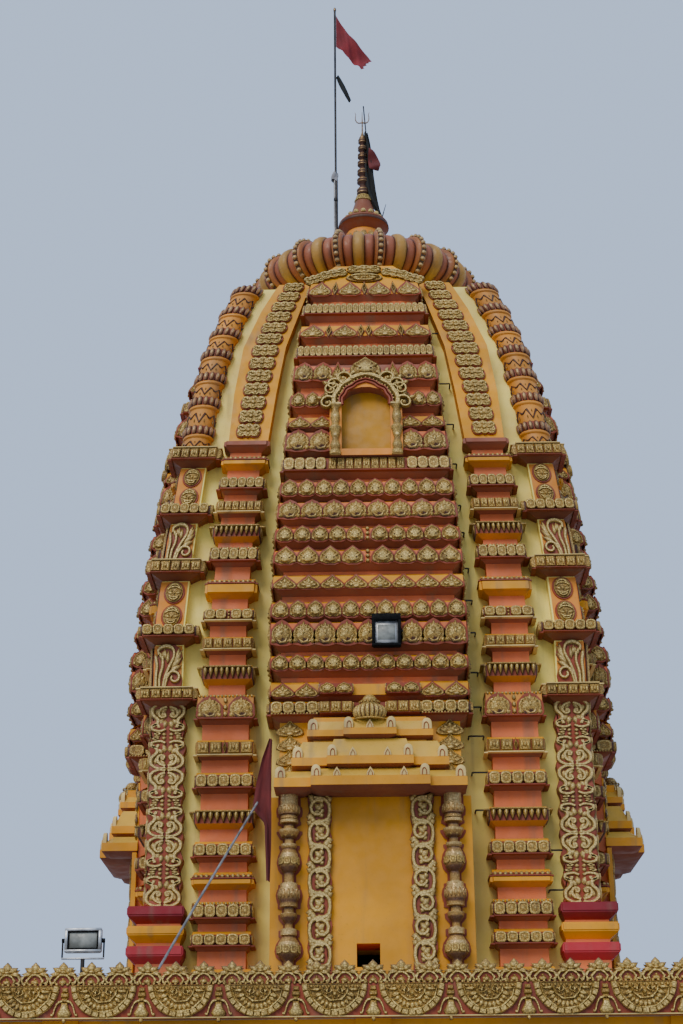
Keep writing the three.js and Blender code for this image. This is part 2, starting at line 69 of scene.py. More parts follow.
def graph(at, *table):
    """The value at a place, from a table of places and one or more rows of values."""
    values = [float(np.interp(at, table[0], row)) for row in table[1:]]
    return values if len(values) > 1 else values[0]


# Materials


class Shader:
    """A material's node tree, made in small steps."""

    def __init__(self, name):
        self.material = bpy.data.materials.new(name)
        self.material.use_nodes = True
        self.tree = self.material.node_tree

    def feed(self, socket, value):
        """Links the socket where the value is a socket too, and otherwise sets it."""
        if hasattr(value, "links"):
            self.tree.links.new(value, socket)
        elif isinstance(value, tuple):
            socket.default_value = (*value, 1)[: len(socket.default_value)]
        else:
            socket.default_value = value

    def node(self, kind, **settings):
        """A new node. Each setting is for one of its inputs, or else for an attribute."""
        made = self.tree.nodes.new(f"ShaderNode{kind}")
        for key, value in settings.items():
            if key in made.inputs:
                self.feed(made.inputs[key], value)
            else:
                setattr(made, key, value)
        return made

    def sum(self, operation, *values):
        made = self.node("Math", operation=operation)
        for socket, value in zip(made.inputs, values):
            self.feed(socket, value)
        return made.outputs[0]

    def place(self):
        return self.node("TexCoord").outputs["Object"]

    def noise(self, scale, detail=4, stretch=(1, 1, 1)):
        fit = self.node("Mapping", Vector=self.place(), Scale=stretch).outputs["Vector"]
        return self.node("TexNoise", Vector=fit, Scale=scale, Detail=detail).outputs["Fac"]

    def ramp(self, source, low, high, start=0.0, end=1.0):
        made = self.node("MapRange", clamp=True, interpolation_type="SMOOTHSTEP", Value=source)
        for name, value in (("From Min", low), ("From Max", high), ("To Min", start), ("To Max", end)):
            made.inputs[name].default_value = value
        return made.outputs["Result"]

    def blend(self, share, first, second):
        """Mixes two colours, each a socket or (red, green, blue)."""
        made = self.node("Mix", data_type="RGBA")
        sockets = {s.identifier: s for s in made.inputs}
        for name, value in (("Factor_Float", share), ("A_Color", first), ("B_Color", second)):
            self.feed(sockets[name], value)
        return next(s for s in made.outputs if s.identifier == "Result_Color")

    def patches(self, scale, detail, colour, low, high, end=0.68):
        """The colour scaled between two factors, in soft patches."""
        share = self.ramp(self.noise(scale, detail), 0.35, end)
        return self.blend(share, scaled(colour, low), scaled(colour, high))

    def uneven(self, scale, middle, down, up):
        return self.ramp(self.noise(scale, 3), 0.3, 0.7, middle - down, middle + up)

    def bump(self, strength, distance, *sources):
        """The normal that the given heights, each (source, share), add up to."""
        total = None
        for source, share in sources:
            part = self.sum("MULTIPLY", source, share)
            total = part if total is None else self.sum("ADD", total, part)
        return self.node("Bump", Height=total, Strength=strength, Distance=distance).outputs["Normal"]

    def finish(self, tone, rough, normal, **others):
        shader = self.tree.nodes["Principled BSDF"]
        for name, value in {"Base Color": tone, "Roughness": rough, "Normal": normal, **others}.items():
            self.feed(shader.inputs[name], value)
        return self.material


def scaled(colour, factor):
    return tuple(min(1.0, c * factor) for c in colour)


def paint(name, colour, dirt=0.45, roughness=0.62, fade=1.25):
    """Weathered masonry paint: patches of fading, rain streaks down the wall, grime and brush marks."""
    s = Shader(name)
    tone = s.patches(0.9, 5, colour, 0.86, fade)
    streaks = s.ramp(s.noise(5.0, 6, (1, 1, 0.07)), 0.52, 0.74, 0, dirt)
    tone = s.blend(streaks, tone, (0.16, 0.13, 0.08))
    specks = s.ramp(s.noise(34, 3), 0.60, 0.75, 0, dirt * 0.55)
    tone = s.blend(specks, tone, scaled(colour, 0.45))
    normal = s.bump(0.35, 0.006, (s.noise(130, 3), 0.35), (s.noise(9, 4), 1.0))
    return s.finish(tone, s.uneven(7, roughness, 0.09, 0.12), normal)


def lifted(name, high, bright, roughness, metallic, edge, cut=0.0):
    """Carving paint: the recesses take a dark colour that is both the carvings' dark red paint and
    painted shade, and the raised parts take the finish, with a painted highlight on the crests.
    The mesh's own attribute 'lift' says how far each point stands out of the carving. Painted shade
    in the fine cut lines darkens it by the given share."""
    s = Shader(name)
    lift = s.node("Attribute", attribute_name="lift").outputs["Fac"]
    total = s.sum("ADD", lift, s.sum("MULTIPLY_ADD", s.noise(16, 4), 0.24, -0.12))
    # Painted highlight: the crests take a lighter colour
    crest = s.ramp(total, 0.78, 1.0, 0, 0.75)
    raised = s.blend(crest, s.patches(2.2, 4, high, 0.8, 1.18), bright)
    tone = s.blend(s.ramp(total, *edge), RECESS_RED_AND_SHADE, raised)
    cells = s.node("TexVoronoi", Vector=s.place(), feature="DISTANCE_TO_EDGE", Scale=34)
    lines = s.ramp(cells.outputs["Distance"], 0.02, 0.15)
    # Painted shade in the fine cut lines
    if cut:
        tone = s.blend(s.ramp(lines, 0, 1, 1 - cut, 1), scaled(high, 0.16), tone)
    soot = s.ramp(s.noise(6, 5, (1, 1, 0.2)), 0.55, 0.78, 0, 0.4)
    tone = s.blend(soot, tone, (0.06, 0.035, 0.02))
    normal = s.bump(0.6, 0.006, (s.noise(150, 3), 0.25), (s.noise(28, 3), 0.6), (lines, 2 * cut))
    shine = {"Metallic": s.ramp(total, *edge, 0, metallic)} if metallic else {}
    return s.finish(tone, s.uneven(21, roughness, 0.1, 0.15), normal, **shine)


def metal(name, colour, roughness, metallic=0.85, gloss=0.5):
    s = Shader(name)
    tone = s.patches(8, 5, colour, 0.55, 1.15, 0.7)
    normal = s.bump(0.25, 0.002, (s.noise(60, 3), 1.0))
    shine = {"Metallic": metallic, "Specular IOR Level": gloss}
    return s.finish(tone, s.uneven(30, roughness, 0.1, 0.15), normal, **shine)


def cloth(name, colour, sheen=0.05):
    """Thin woven flag cloth with a weave, creases and sun-bleached patches."""
    s = Shader(name)
    tone = s.patches(4, 4, colour, 0.75, 1.3, 0.7)
    weave = s.node("TexWave", Vector=s.place(), Scale=240, Distortion=0.6).outputs["Fac"]
    tone = s.blend(s.ramp(weave, 0.2, 0.8, 0, 0.35), tone, scaled(colour, 0.6))
    return s.finish(tone, 0.85, s.bump(0.3, 0.002, (weave, 0.4), (s.noise(30, 3), 1.0)), **{"Sheen Weight": sheen})


# The dark colour of the carvings' recesses: their dark red paint together with painted shade
RECESS_RED_AND_SHADE = (0.075, 0.016, 0.008)
RIB = (0.5, 0, (0.05, 0.5))
# Each finish: its slot, what makes it, and the values for that. The first finish that a piece has
# in this order gives the object passed along when its CAD nodes are hidden.
FINISHES = {
    "pale": ("pale_yellow_paint", paint, (0.88, 0.68, 0.15)),
    "coral": ("coral_paint", paint, (0.62, 0.145, 0.036)),
    "ochre": ("ochre_paint", paint, (0.64, 0.268, 0.001)),
    "board": ("ochre_paint", paint, (0.60, 0.205, 0.014)),
    "amber": ("ochre_paint", paint, (0.55, 0.215, 0.022)),
    "maroon": ("maroon_paint", paint, (0.22, 0.034, 0.009), 0.3),
    # A darker copy of the coral: on band undersides and soffits it is painted shade, elsewhere a dark coral paint
    "brick": ("maroon_paint", paint, (0.26, 0.075, 0.038)),
    "umber": ("maroon_paint", paint, (0.055, 0.015, 0.004)),
    "rust": ("maroon_paint", paint, (0.19, 0.050, 0.016)),
    "crimson": ("maroon_paint", paint, (0.20, 0.004, 0.011)),
    "rose": ("maroon_paint", paint, (0.40, 0.018, 0.026)),
    "cream": ("pale_yellow_paint", paint, (0.62, 0.44, 0.15), 0.6),
    "canopy": ("ochre_paint", paint, (0.57, 0.33, 0.032)),
    "concrete": ("concrete", paint, (0.30, 0.29, 0.27)),
    # A carving finish gives its colour and then the lighter colour of its painted highlight
    "gold": ("gilt_plaster", lifted, (0.42, 0.25, 0.048), (0.80, 0.59, 0.19), 0.46, 0.15, (0.16, 0.52), 0.55),
    "pillar": ("gilt_plaster", lifted, (0.42, 0.24, 0.065), (0.80, 0.58, 0.24), 0.32, 0.35, (0.15, 0.6), 0.35),
    "light_gold": ("gilt_plaster", lifted, (0.41, 0.255, 0.06), (0.80, 0.60, 0.22), 0.46, 0.1, (0.14, 0.52), 0.45),
    "plum": ("gilt_plaster", lifted, (0.28, 0.13, 0.05), (0.60, 0.42, 0.16), 0.42, 0.2, (0.1, 0.5), 0.3),
    "coral_rib": ("coral_paint", lifted, (0.25, 0.070, 0.024), (0.325, 0.091, 0.0312), *RIB),
    "yellow_rib": ("pale_yellow_paint", lifted, (0.33, 0.17, 0.024), (0.429, 0.221, 0.0312), *RIB),
    "orange_rib": ("ochre_paint", lifted, (0.30, 0.095, 0.018), (0.42, 0.16, 0.03), *RIB),
    "brass": ("finial_metal", metal, (0.24, 0.15, 0.07), 0.45),
    "steel": ("pole_steel", metal, (0.30, 0.29, 0.28), 0.5, 0.7),
    "iron": ("pole_steel", metal, (0.05, 0.045, 0.042), 0.6, 0.6),
    "silver": ("lamp_housing", metal, (0.62, 0.63, 0.63), 0.38, 0.7),
    "housing": ("lamp_housing", metal, (0.006, 0.006, 0.006), 0.8, 0.0, 0.15),
    "glass": ("lamp_housing", metal, (0.27, 0.28, 0.25), 0.42, 0.0),
    "red_cloth": ("red_cloth", cloth, (0.20, 0.013, 0.018)),
    "black_cloth": ("black_cloth", cloth, (0.007, 0.008, 0.007), 0.0),
    "pale_cloth": ("black_cloth", cloth, (0.30, 0.30, 0.31)),
    "dark_red_cloth": ("red_cloth", cloth, (0.13, 0.014, 0.012)),
    "mustard": ("ochre_paint", paint, (0.44, 0.20, 0.001)),
}
NAMES = list(FINISHES)
MATERIALS = {name: make(name, *values) for name, (_, make, *values) in FINISHES.items()}


# Camera, light and floor


def link(name, data):
    """A new object with this data, in the scene."""
    made = bpy.data.objects.new(name, data)
    bpy.context.scene.collection.objects.link(made)
    return made


def place_camera():
    """The photo's viewpoint. Its focal length is 1800 pixels on a frame 1024 pixels high."""
    pitch, yaw, roll = math.radians(22), math.radians(0.88), math.radians(0.40)
    level = math.cos(pitch)
    forward = Vector((-math.sin(yaw) * level, math.cos(yaw) * level, math.sin(pitch)))
    right = Vector((math.cos(yaw), math.sin(yaw), 0))
    up = right.cross(forward)
    x_axis = right * math.cos(roll) - up * math.sin(roll)
    y_axis = up * math.cos(roll) + right * math.sin(roll)
    data = bpy.data.cameras.new("photo_view")
    data.sensor_width, data.clip_end = 24, 500
    data.lens = 1800 / 1024 * 24
    camera = link("photo_view", data)
    turn = Matrix((x_axis, y_axis, -forward)).transposed().to_4x4()
    camera.matrix_world = Matrix.Translation((0, -25.06, 1.6)) @ turn
    bpy.context.scene.camera = camera


def set_stage():
    """An overcast sky, a soft sun from the front left, and a wide floor."""
    world = bpy.data.worlds.new("pale_sky")
    world.use_nodes = True
    background = world.node_tree.nodes["Background"]
    background.inputs["Color"].default_value = (0.52, 0.66, 0.93, 1)
    background.inputs["Strength"].default_value = 1.08
    bpy.context.scene.world = world
    sun = bpy.data.lights.new("key", "SUN")
    sun.energy, sun.angle, sun.color = 2.1, 0.5, (1, 0.93, 0.82)
    key = link("key", sun)
    key.location = (-14, -30, 38)
    key.rotation_euler = (Vector((0, 0, 8)) - key.location).to_track_quat("-Z", "Y").to_euler()
    mesh = bpy.data.meshes.new("floor")
    size = 120
    mesh.from_pydata([(-size, -size, 0), (size, -size, 0), (size, size, 0), (-size, size, 0)], [], [(0, 1, 2, 3)])
    mesh.materials.append(paint("floor_paint", (0.42, 0.40, 0.37), 0.15, 0.8, 1.06))
    link("floor", mesh)


# Forms: points are (x to the right, d out of the wall, z up, lift), faces hold up to four corners,
# counter-clockwise seen from outside, and each face has a finish


def form(points, faces, finish="gold"):
    corners = np.full((len(faces), 4), -1)
    for i, face in enumerate(faces):
        corners[i, : len(face)] = face
    return np.array(points, float).reshape(-1, 4), corners, np.full(len(faces), NAMES.index(finish))


def join(*forms):
    """One form made of the given ones, and of those in the given lists."""
    flat = [f for item in forms for f in (item if isinstance(item, list) else [item])]
    starts = np.cumsum([0] + [len(points) for points, _, _ in flat])
    faces = [np.where(corners < 0, -1, corners + start) for (_, corners, _), start in zip(flat, starts)]
    return np.concatenate([f[0] for f in flat]), np.concatenate(faces), np.concatenate([f[2] for f in flat])


def quads(rows, wide, order=(0, 1, 2, 3), closed=True):
    """The faces between rows of points. A face's corners are a point, the next one along its row, and
    the two in the next row, taken in the given order."""
    faces = []
    for a in range(0, (rows - 1) * wide, wide):
        for j in range(wide if closed else wide - 1):
            k = (j + 1) % wide
            four = (a + j, a + k, a + wide + k, a + wide + j)
            faces.append(tuple(four[c] for c in order))
    return faces


def at_depth(flat, depth, lift):
    """Points (x, z) at a depth, with a lift."""
    n = len(flat)
    return np.column_stack([flat[:, 0], np.full(n, depth), flat[:, 1], np.full(n, lift)])


def moved(f, x=0, d=0, z=0, sx=1, sd=1, sz=1, turn=0):
    """The form scaled, turned in the wall's plane and then moved. A negative sx or sz mirrors it."""
    points, corners, finish = f
    p = points.copy()
    c, s = math.cos(turn), math.sin(turn)
    px, pz = p[:, 0] * sx, p[:, 2] * sz
    p[:, 0], p[:, 1], p[:, 2] = px * c - pz * s + x, p[:, 1] * sd + d, px * s + pz * c + z
    if sx * sz < 0:
        corners = corners.copy()
        four = corners[:, 3] >= 0
        corners[four] = corners[four][:, ::-1]
        corners[~four, :3] = corners[~four, :3][:, ::-1]
    return p, corners, finish


def pair(f):
    """The form and its mirror image."""
    return join(f, moved(f, sx=-1))


def relief(rim, rings, centre, top=None, finish="gold"):
    """A raised shape: the rim's outline repeated at each (share, depth, lift), closed by a centre point."""
    rim, centre = np.array(rim, float), np.array(centre, float)
    if np.sum(rim[:, 0] * np.roll(rim[:, 1], -1) - np.roll(rim[:, 0], -1) * rim[:, 1]) < 0:
        rim = rim[::-1]
    n, count = len(rim), len(rings)
    points = [at_depth(centre + (rim - centre) * share, depth, lift) for share, depth, lift in rings]
    depth, lift = top or rings[-1][1:]
    points.append([[centre[0], depth, centre[1], lift]])
    last = (count - 1) * n
    fan = [(last + i, last + (i + 1) % n, count * n) for i in range(n)]
    return form(np.concatenate(points), quads(count, n) + fan, finish)


def ridge(path, width, base=0.0, high=0.5, lift=FULL, finish="gold"):
    """A raised line along a path: three strips across, low at its edges and high in the middle."""
    path = np.array(path, float)
    n, crest = len(path), 0.45
    wide = np.broadcast_to(np.array(width, float), (n,)) / 2
    along = np.gradient(path, axis=0)
    along /= np.maximum(np.linalg.norm(along, axis=1), 1e-9)[:, None]
    left = np.column_stack([-along[:, 1], along[:, 0]])
    low, top = (base, lift[0]), (base + high, lift[1])
    rows = [
        at_depth(path + left * (wide * across)[:, None], *level)
        for across, level in ((1, low), (crest, top), (-crest, top), (-1, low))
    ]
    e = 4 * (n - 1)
    faces = quads(n, 4, (1, 2, 3, 0), closed=False) + [(3, 2, 1, 0), (e, e + 1, e + 2, e + 3)]
    return form(np.stack(rows, 1).reshape(-1, 4), faces, finish)


def arc(x, z, rx, rz, start, end, n):
    """Points of an ellipse from one angle to the other, in degrees."""
    t = np.radians(np.linspace(start, end, n))
    return np.column_stack([x + rx * np.cos(t), z + rz * np.sin(t)])


def spiral(x, z, r0, r1, start, end, n):
    t = np.linspace(0, 1, n)
    angle, radius = np.radians(start + (end - start) * t), r0 + (r1 - r0) * t
    return np.column_stack([x + radius * np.cos(angle), z + radius * np.sin(angle)])


def bend(points, n=12):
    """A smooth curve through the given points."""
    p = np.array(points, float)
    out = []
    for v in np.linspace(0, len(p) - 1, n):
        i = min(int(v), len(p) - 2)
        s = v - i
        a, b, c, d = p[max(i - 1, 0)], p[i], p[i + 1], p[min(i + 2, len(p) - 1)]
        third = 3 * b - a - 3 * c + d
        out.append(0.5 * (2 * b + (c - a) * s + (2 * a - 5 * b + 4 * c - d) * s**2 + third * s**3))
    return np.array(out)


def mirrored(half):
    """A line that ends on the middle, and its mirror image back from there."""
    return np.concatenate([half, half[-2::-1] * (-1, 1)])


def dome(x, z, r, high=0.3, base=0.0, n=8, rz=None, lift=FULL, finish="gold"):
    rim = arc(x, z, r, rz or r, 0, 360 * (n - 1) / n, n)
    rings = [(1, base, lift[0]), (0.72, base + high * 0.78, lift[0] * 0.3 + lift[1] * 0.7)]
    return relief(rim, rings, (x, z), (base + high, lift[1]), finish)


def petal(x, z, length, wide, angle, base=0.0, high=0.3, lift=FULL):
    """A pointed leaf from (x, z) outwards at an angle in degrees from upright."""
    rim = np.array([(0, 0), (0.5, 0.28), (0.42, 0.62), (0, 1), (-0.42, 0.62), (-0.5, 0.28)])
    rings = [(1, base, lift[0]), (0.62, base + high * 0.8, lift[1] * 0.85)]
    made = relief(rim * (wide, length), rings, (0, length * 0.42), (base + high, lift[1]))
    return moved(made, x=x, z=z, turn=-math.radians(angle))


def petals(*rows, base=0.2, high=0.5, lift=FULL):
    """Petals from rows of (x, z, length, width, angle)."""
    return [petal(*row, base, high, lift) for row in rows]


def slab(x0, x1, d0, d1, z0, z1, finish="gold", lift=0.8, edge=0.0):
    """A block, its front narrowed by edge on all four sides."""
    points = [
        (x, d, z, lift)
        for d, e in ((d0, 0), (d1, edge))
        for x, z in ((x0 + e, z0 + e), (x1 - e, z0 + e), (x1 - e, z1 - e), (x0 + e, z1 - e))
    ]
    faces = [(4, 5, 6, 7), (0, 1, 5, 4), (1, 2, 6, 5), (2, 3, 7, 6), (3, 0, 4, 7), (3, 2, 1, 0)]
    return form(points, faces, finish)


def beads(x0, x1, z, r, count, base=0.0, high=None, n=6):
    step = (x1 - x0) / count
    one = dome(0, 0, r, high or r, base, n)
    return join([moved(one, x=x0 + step * (i + 0.5), z=z) for i in range(count)])


def lathe(profile, n=16, finish="gold", lift=None):
    """Turned round the z axis from rows of (radius, z, lift), or (radius, z) and one lift for all.
    Here x and d are the two level axes."""
    angles = np.radians(360.0 * np.arange(n) / n)
    points = []
    for radius, z, *own in profile:
        level = [np.cos(angles) * radius, np.sin(angles) * radius]
        points.append(np.column_stack([*level, np.full(n, z), np.full(n, own[0] if own else lift)]))
    return form(np.concatenate(points), quads(len(profile), n, (1, 0, 3, 2)), finish)


def lobed(profile, ribs, deep):
    """Turned from (radius, z) rows, with upright lobes all round and grooves between them that take painted shade
    through their low lift.
    """
    steps = 5
    n = ribs * steps
    angles = 2 * math.pi * np.arange(n) / n
    swell = np.abs(np.sin(angles * ribs / 2)) ** 0.6
    points = []
    for radius, z in profile:
        r = radius * (1 - deep + deep * swell)
        points.append(np.column_stack([r * np.cos(angles), r * np.sin(angles), np.full(n, z), swell]))
    return form(np.concatenate(points), quads(len(profile), n, (1, 0, 3, 2)))


def ball(r, n=10, levels=6, finish="gold"):
    low, top = 0.45, 1.0
    turns = [math.pi * (i / levels - 0.5) for i in range(levels + 1)]
    return lathe([(r * math.cos(a), r * math.sin(a), low + (top - low) * math.cos(a)) for a in turns], n, finish)


# Carvings: each fills x -0.5..0.5, z 0..1 and d 0..1, and is scaled where it is placed


def both(make):
    """What make(side) lists for the left side (-1), and then what it lists for the right (1)."""
    return [part for side in SIDES for part in make(side)]


def scroll(side, x, z, r, turns, start, wide, high, n, base=0.0, lift=FULL):
    path = spiral(0, 0, r, r * 0.22, start, start + 360 * turns, n)
    made = ridge(path, np.linspace(wide, wide * 0.6, n), base, high, lift)
    return join(moved(made, x=x, z=z, sx=side), dome(x, z, r * 0.26, high * 1.15, n=6))


def shell(tip=0.06):
    """A fluted fan with two domes painted dark as shaded hollows, a rolled lip and drops below it. A tip makes it
    pointed.
    """
    fan = arc(0, 0.3, 0.5, 0.64, -6, 186, 15)
    fan[7, 1] += tip
    fan[6:9:2, 1] += tip * 0.35
    rim = np.concatenate([fan, [(-0.4, 0.12), (-0.2, 0.0), (0, 0.06), (0.2, 0.0), (0.4, 0.12)]])
    rings = [(1, 0, 0.1), (0.97, 0.28, 0.3), (0.86, 0.42, 1), (0.74, 0.30, 0.3), (0.5, 0.62, 0.9)]
    flutes = [(0, 0.36, 0.5, 0.19, angle) for angle in (-56, -28, 0, 28, 56)]
    return join(
        relief(rim, rings, (0, 0.38), (0.72, 1)),
        petals(*flutes, base=0.36, high=0.36, lift=(0.35, 1)),
        both(lambda s: [
            # These domes have no lift, so they take the dark recess colour as the painted shade of hollows
            dome(s * 0.17, 0.38, 0.06, 0.3, 0.55, 6, lift=(0, 0)),
            dome(s * 0.38, 0.2, 0.12, 0.5, 0.1, 7, lift=PROUD),
        ]),
        dome(0, 0.22, 0.24, 0.75, 0.2, 9, 0.13, PROUD),
    )  # fmt: skip


def mask():
    """A round crowned boss of leaves: brow arcs, two side lobes and a mouth under a bead, painted dark as shade."""
    rings = [(1, 0, 0.1), (0.97, 0.3, 0.4), (0.88, 0.4, 1), (0.76, 0.32, 0.45), (0.6, 0.6, 0.8)]
    lengths = ((-62, 0.42), (-32, 0.44), (0, 0.5), (32, 0.44), (62, 0.42))
    leaves = [(0, 0.48, length, 0.24, angle) for angle, length in lengths]
    return join(
        relief(arc(0, 0.42, 0.5, 0.43, 0, 342, 20), rings, (0, 0.42), (0.72, 0.9)),
        petals(*leaves, base=0.3, high=0.42, lift=(0.3, 1)),
        both(lambda s: [
            scroll(s, s * 0.25, 0.42, 0.14, 1.1, 200, 0.08, 0.62, 10),
            dome(s * 0.4, 0.16, 0.12, 0.5, 0.1, 6, lift=PROUD),
        ]),
        dome(0, 0.5, 0.1, 0.85, 0.1, 8, 0.15, PROUD),
        # The mouth's low lift gives it the dark recess colour as painted shade
        dome(0, 0.22, 0.13, 0.62, 0.1, 8, 0.08, (0.1, 0.02)),
        ridge(arc(0, 0.25, 0.21, 0.17, 170, 370, 9), 0.07, 0.35, 0.3, finish="cream"),
    )  # fmt: skip


def heart():
    """A three-lobed leaf with a pointed top."""
    half = [(0, 0.04), (0.2, 0.0), (0.44, 0.06), (0.5, 0.28), (0.34, 0.52), (0.14, 0.72), (0, 1.0)]
    rings = [(1, 0, 0.1), (0.97, 0.3, 0.4), (0.86, 0.44, 1), (0.72, 0.3, 0.4), (0.5, 0.5, 0.8)]
    leaves = both(lambda s: [(s * 0.06, 0.2, 0.38, 0.2, s * 68), (s * 0.05, 0.3, 0.4, 0.17, s * 34)])
    return join(
        relief(mirrored(bend(half, 10))[:-1], rings, (0, 0.34), (0.6, 0.9)),
        petals(*leaves, base=0.3, high=0.36, lift=(0.35, 1)),
        petal(0, 0.3, 0.56, 0.17, 0, 0.35, 0.4, (0.35, 1)),
        dome(0, 0.15, 0.13, 0.5, 0.25, 8, 0.1, finish="cream"),
    )


def block():
    """A rounded block with a raised ring and a button."""
    rim = bend([(0.48, 0.5), (0.45, 0.88), (0, 0.98), (-0.45, 0.88), (-0.48, 0.5)], 7)
    lower = bend([(-0.48, 0.5), (-0.45, 0.12), (0, 0.02), (0.45, 0.12), (0.48, 0.5)], 7)[1:-1]
    rings = [(1, 0, 0), (0.93, 0.78, 0.8), (0.70, 0.88, 1), (0.54, 0.74, 0.55)]
    return relief(np.concatenate([rim, lower]), rings, (0, 0.5), (0.98, 1))


def square():
    """A squared cushion with an upright roll on each side of a bead."""
    return join(
        slab(-0.47, 0.47, 0, 0.6, 0.03, 0.97, lift=0.7, edge=0.08),
        [dome(s * 0.25, 0.5, 0.13, 0.35, 0.5, 8, 0.4, (0.3, 1)) for s in SIDES],
        dome(0, 0.5, 0.12, 0.45, 0.55, 7, 0.2, (0.3, 1)),
    )


def tooth():
    """A hanging pointed lobe."""
    rim = [(0.46, 0.98), (-0.46, 0.98), (-0.42, 0.6), (-0.2, 0.25), (0, 0.0), (0.2, 0.25), (0.42, 0.6)]
    core = [(0.18, 0.9), (-0.18, 0.9), (0, 0.35)]
    return join(
        relief(rim, [(1, 0, 0), (0.9, 0.5, 0.3), (0.6, 0.8, 0.7)], (0, 0.7), (0.95, 1)),
        relief(core, [(1, 0.75, 0.6), (0.6, 1.0, 1)], (0, 0.72), (1.02, 1), "cream"),
    )


def diamond():
    rings = [(1, 0, 0), (0.9, 0.5, 0.4), (0.66, 0.6, 1), (0.4, 0.3, 0.1)]
    return relief([(0, -0.05), (0.42, 0.48), (0, 1.02), (-0.42, 0.48)], rings, (0, 0.48), (0.6, 0.9))


def divider():
    """A narrow stack of beads."""
    return join([dome(0, z, 0.3, 0.6, 0, 7, 0.13) for z in (0.2, 0.5, 0.8)])


def bow():
    """A plaque of two joined double scrolls, lobed at its four corners, with low leaves over it."""
    head = [(0.45, 0.52), (0.5, 0.7), (0.42, 0.9), (0.28, 0.94), (0.18, 0.86), (0.08, 0.97), (0, 1)]
    foot = [(-0.45, 0.52), (-0.5, 0.3), (-0.4, 0.08), (-0.26, 0.03), (-0.14, 0.13), (-0.06, 0.03), (0, 0.02)]
    rim = np.concatenate([mirrored(bend(head, 12)), mirrored(bend(foot, 12))[1:-1]])
    rings = [(1, 0, 0.1), (0.98, 0.45, 0.5), (0.9, 0.62, 1), (0.6, 0.56, 0.85)]
    low = (0.36, 1.0)

    def half(s):
        curl = scroll(s, s * 0.3, 0, 0.14, 0.9, -60, 0.11, 0.28, 9, lift=low)
        curls = [moved(curl, d=0.5, z=z, sz=flip) for z, flip in ((0.7, 1), (0.3, -1))]
        return [*curls, petal(s * 0.06, 0.5, 0.36, 0.2, s * 90, 0.52, 0.34, low)]

    return join(
        relief(rim, rings, (0, 0.5), (0.56, 0.85)),
        both(half),
        dome(0, 0.5, 0.1, 0.42, 0.55, 8, 0.16, low),
        petals((0, 0.62, 0.34, 0.2, 0), (0, 0.38, 0.34, 0.2, 180), base=0.52, high=0.3, lift=low),
    )


def bud():
    """A parapet bud: a pointed bud between two leaves, over a horseshoe arch with a bun in it."""
    hook = bend([(0.12, 0.46), (0.36, 0.42), (0.47, 0.24), (0.4, 0.06), (0.3, 0.14)], 9)
    arch = bend([(-0.2, 0), (-0.28, 0.18), (-0.17, 0.38), (0, 0.46), (0.17, 0.38), (0.28, 0.18), (0.2, 0)], 13)
    return join(
        petal(0, 0.52, 0.48, 0.36, 0, 0.3, 0.5),
        dome(0, 0.56, 0.14, 0.7, 0.1, 8, 0.1),
        both(lambda s: [
            petal(s * 0.03, 0.54, 0.42, 0.26, s * 58, 0.25, 0.42),
            petal(s * 0.1, 0.5, 0.4, 0.2, s * 92, 0.2, 0.42),
            moved(ridge(hook, 0.13, 0.1, 0.5), sx=s),
        ]),
        ridge(arch, 0.12, 0.25, 0.55),
        relief(arch, [(1, 0.1, 0), (0.9, 0.3, 0.1)], (0, 0.18), (0.3, 0.1), "maroon"),
        dome(0, 0.13, 0.16, 0.5, 0.25, 9, 0.13, (0.3, 1)),
        dome(0, 0.27, 0.07, 0.4, 0.25, 6),
    )  # fmt: skip


def medallion():
    """A hanging half circle: a bead row, two scrolls, fans inside each other and a border of blocks.
    It is as wide as 1 and as high as 0.5."""
    one = slab(-0.052, 0.052, 0.2, 0.8, -0.042, 0.042, lift=0.9, edge=0.012)
    leaf = petal(0, -0.19, 0.15, 0.085, 180, 0.25, 0.5)
    border = [
        moved(one, x=x, z=z, turn=math.radians(188 + 164 * i / 12 - 270))
        for i, (x, z) in enumerate(arc(0, 0.5, 0.44, 0.44, 188, 352, 13))
    ]
    return join(
        relief(arc(0, 0.5, 0.49, 0.49, 180, 360, 25), [(1, 0, 0.2), (0.98, 0.3, 0.6)], (0, 0.34), (0.35, 0.75)),
        border,
        slab(-0.49, 0.49, 0, 0.5, 0.475, 0.505, edge=0.008),
        beads(-0.47, 0.47, 0.45, 0.034, 11, 0.2, 0.65),
        ridge(arc(0, 0.45, 0.37, 0.35, 184, 356, 19), 0.035, 0.2, 0.5),
        [moved(leaf, z=0.42, turn=math.radians(14 * (i - 5))) for i in range(11)],
        ridge(arc(0, 0.43, 0.2, 0.19, 180, 360, 15), 0.035, 0.2, 0.6),
        [dome(x, z, 0.028, 0.6, 0.2, 6) for x, z in arc(0, 0.43, 0.145, 0.14, 192, 348, 7)],
        both(lambda s: [
            scroll(s, s * 0.09, 0.39, 0.055, 1.2, 120, 0.04, 0.8, 11),
            *petals((s * 0.15, 0.41, 0.26, 0.06, s * 92), (s * 0.14, 0.37, 0.2, 0.06, s * 118), high=0.7),
        ]),
        dome(0, 0.34, 0.045, 0.9, 0.1, 6, 0.05),
    )  # fmt: skip


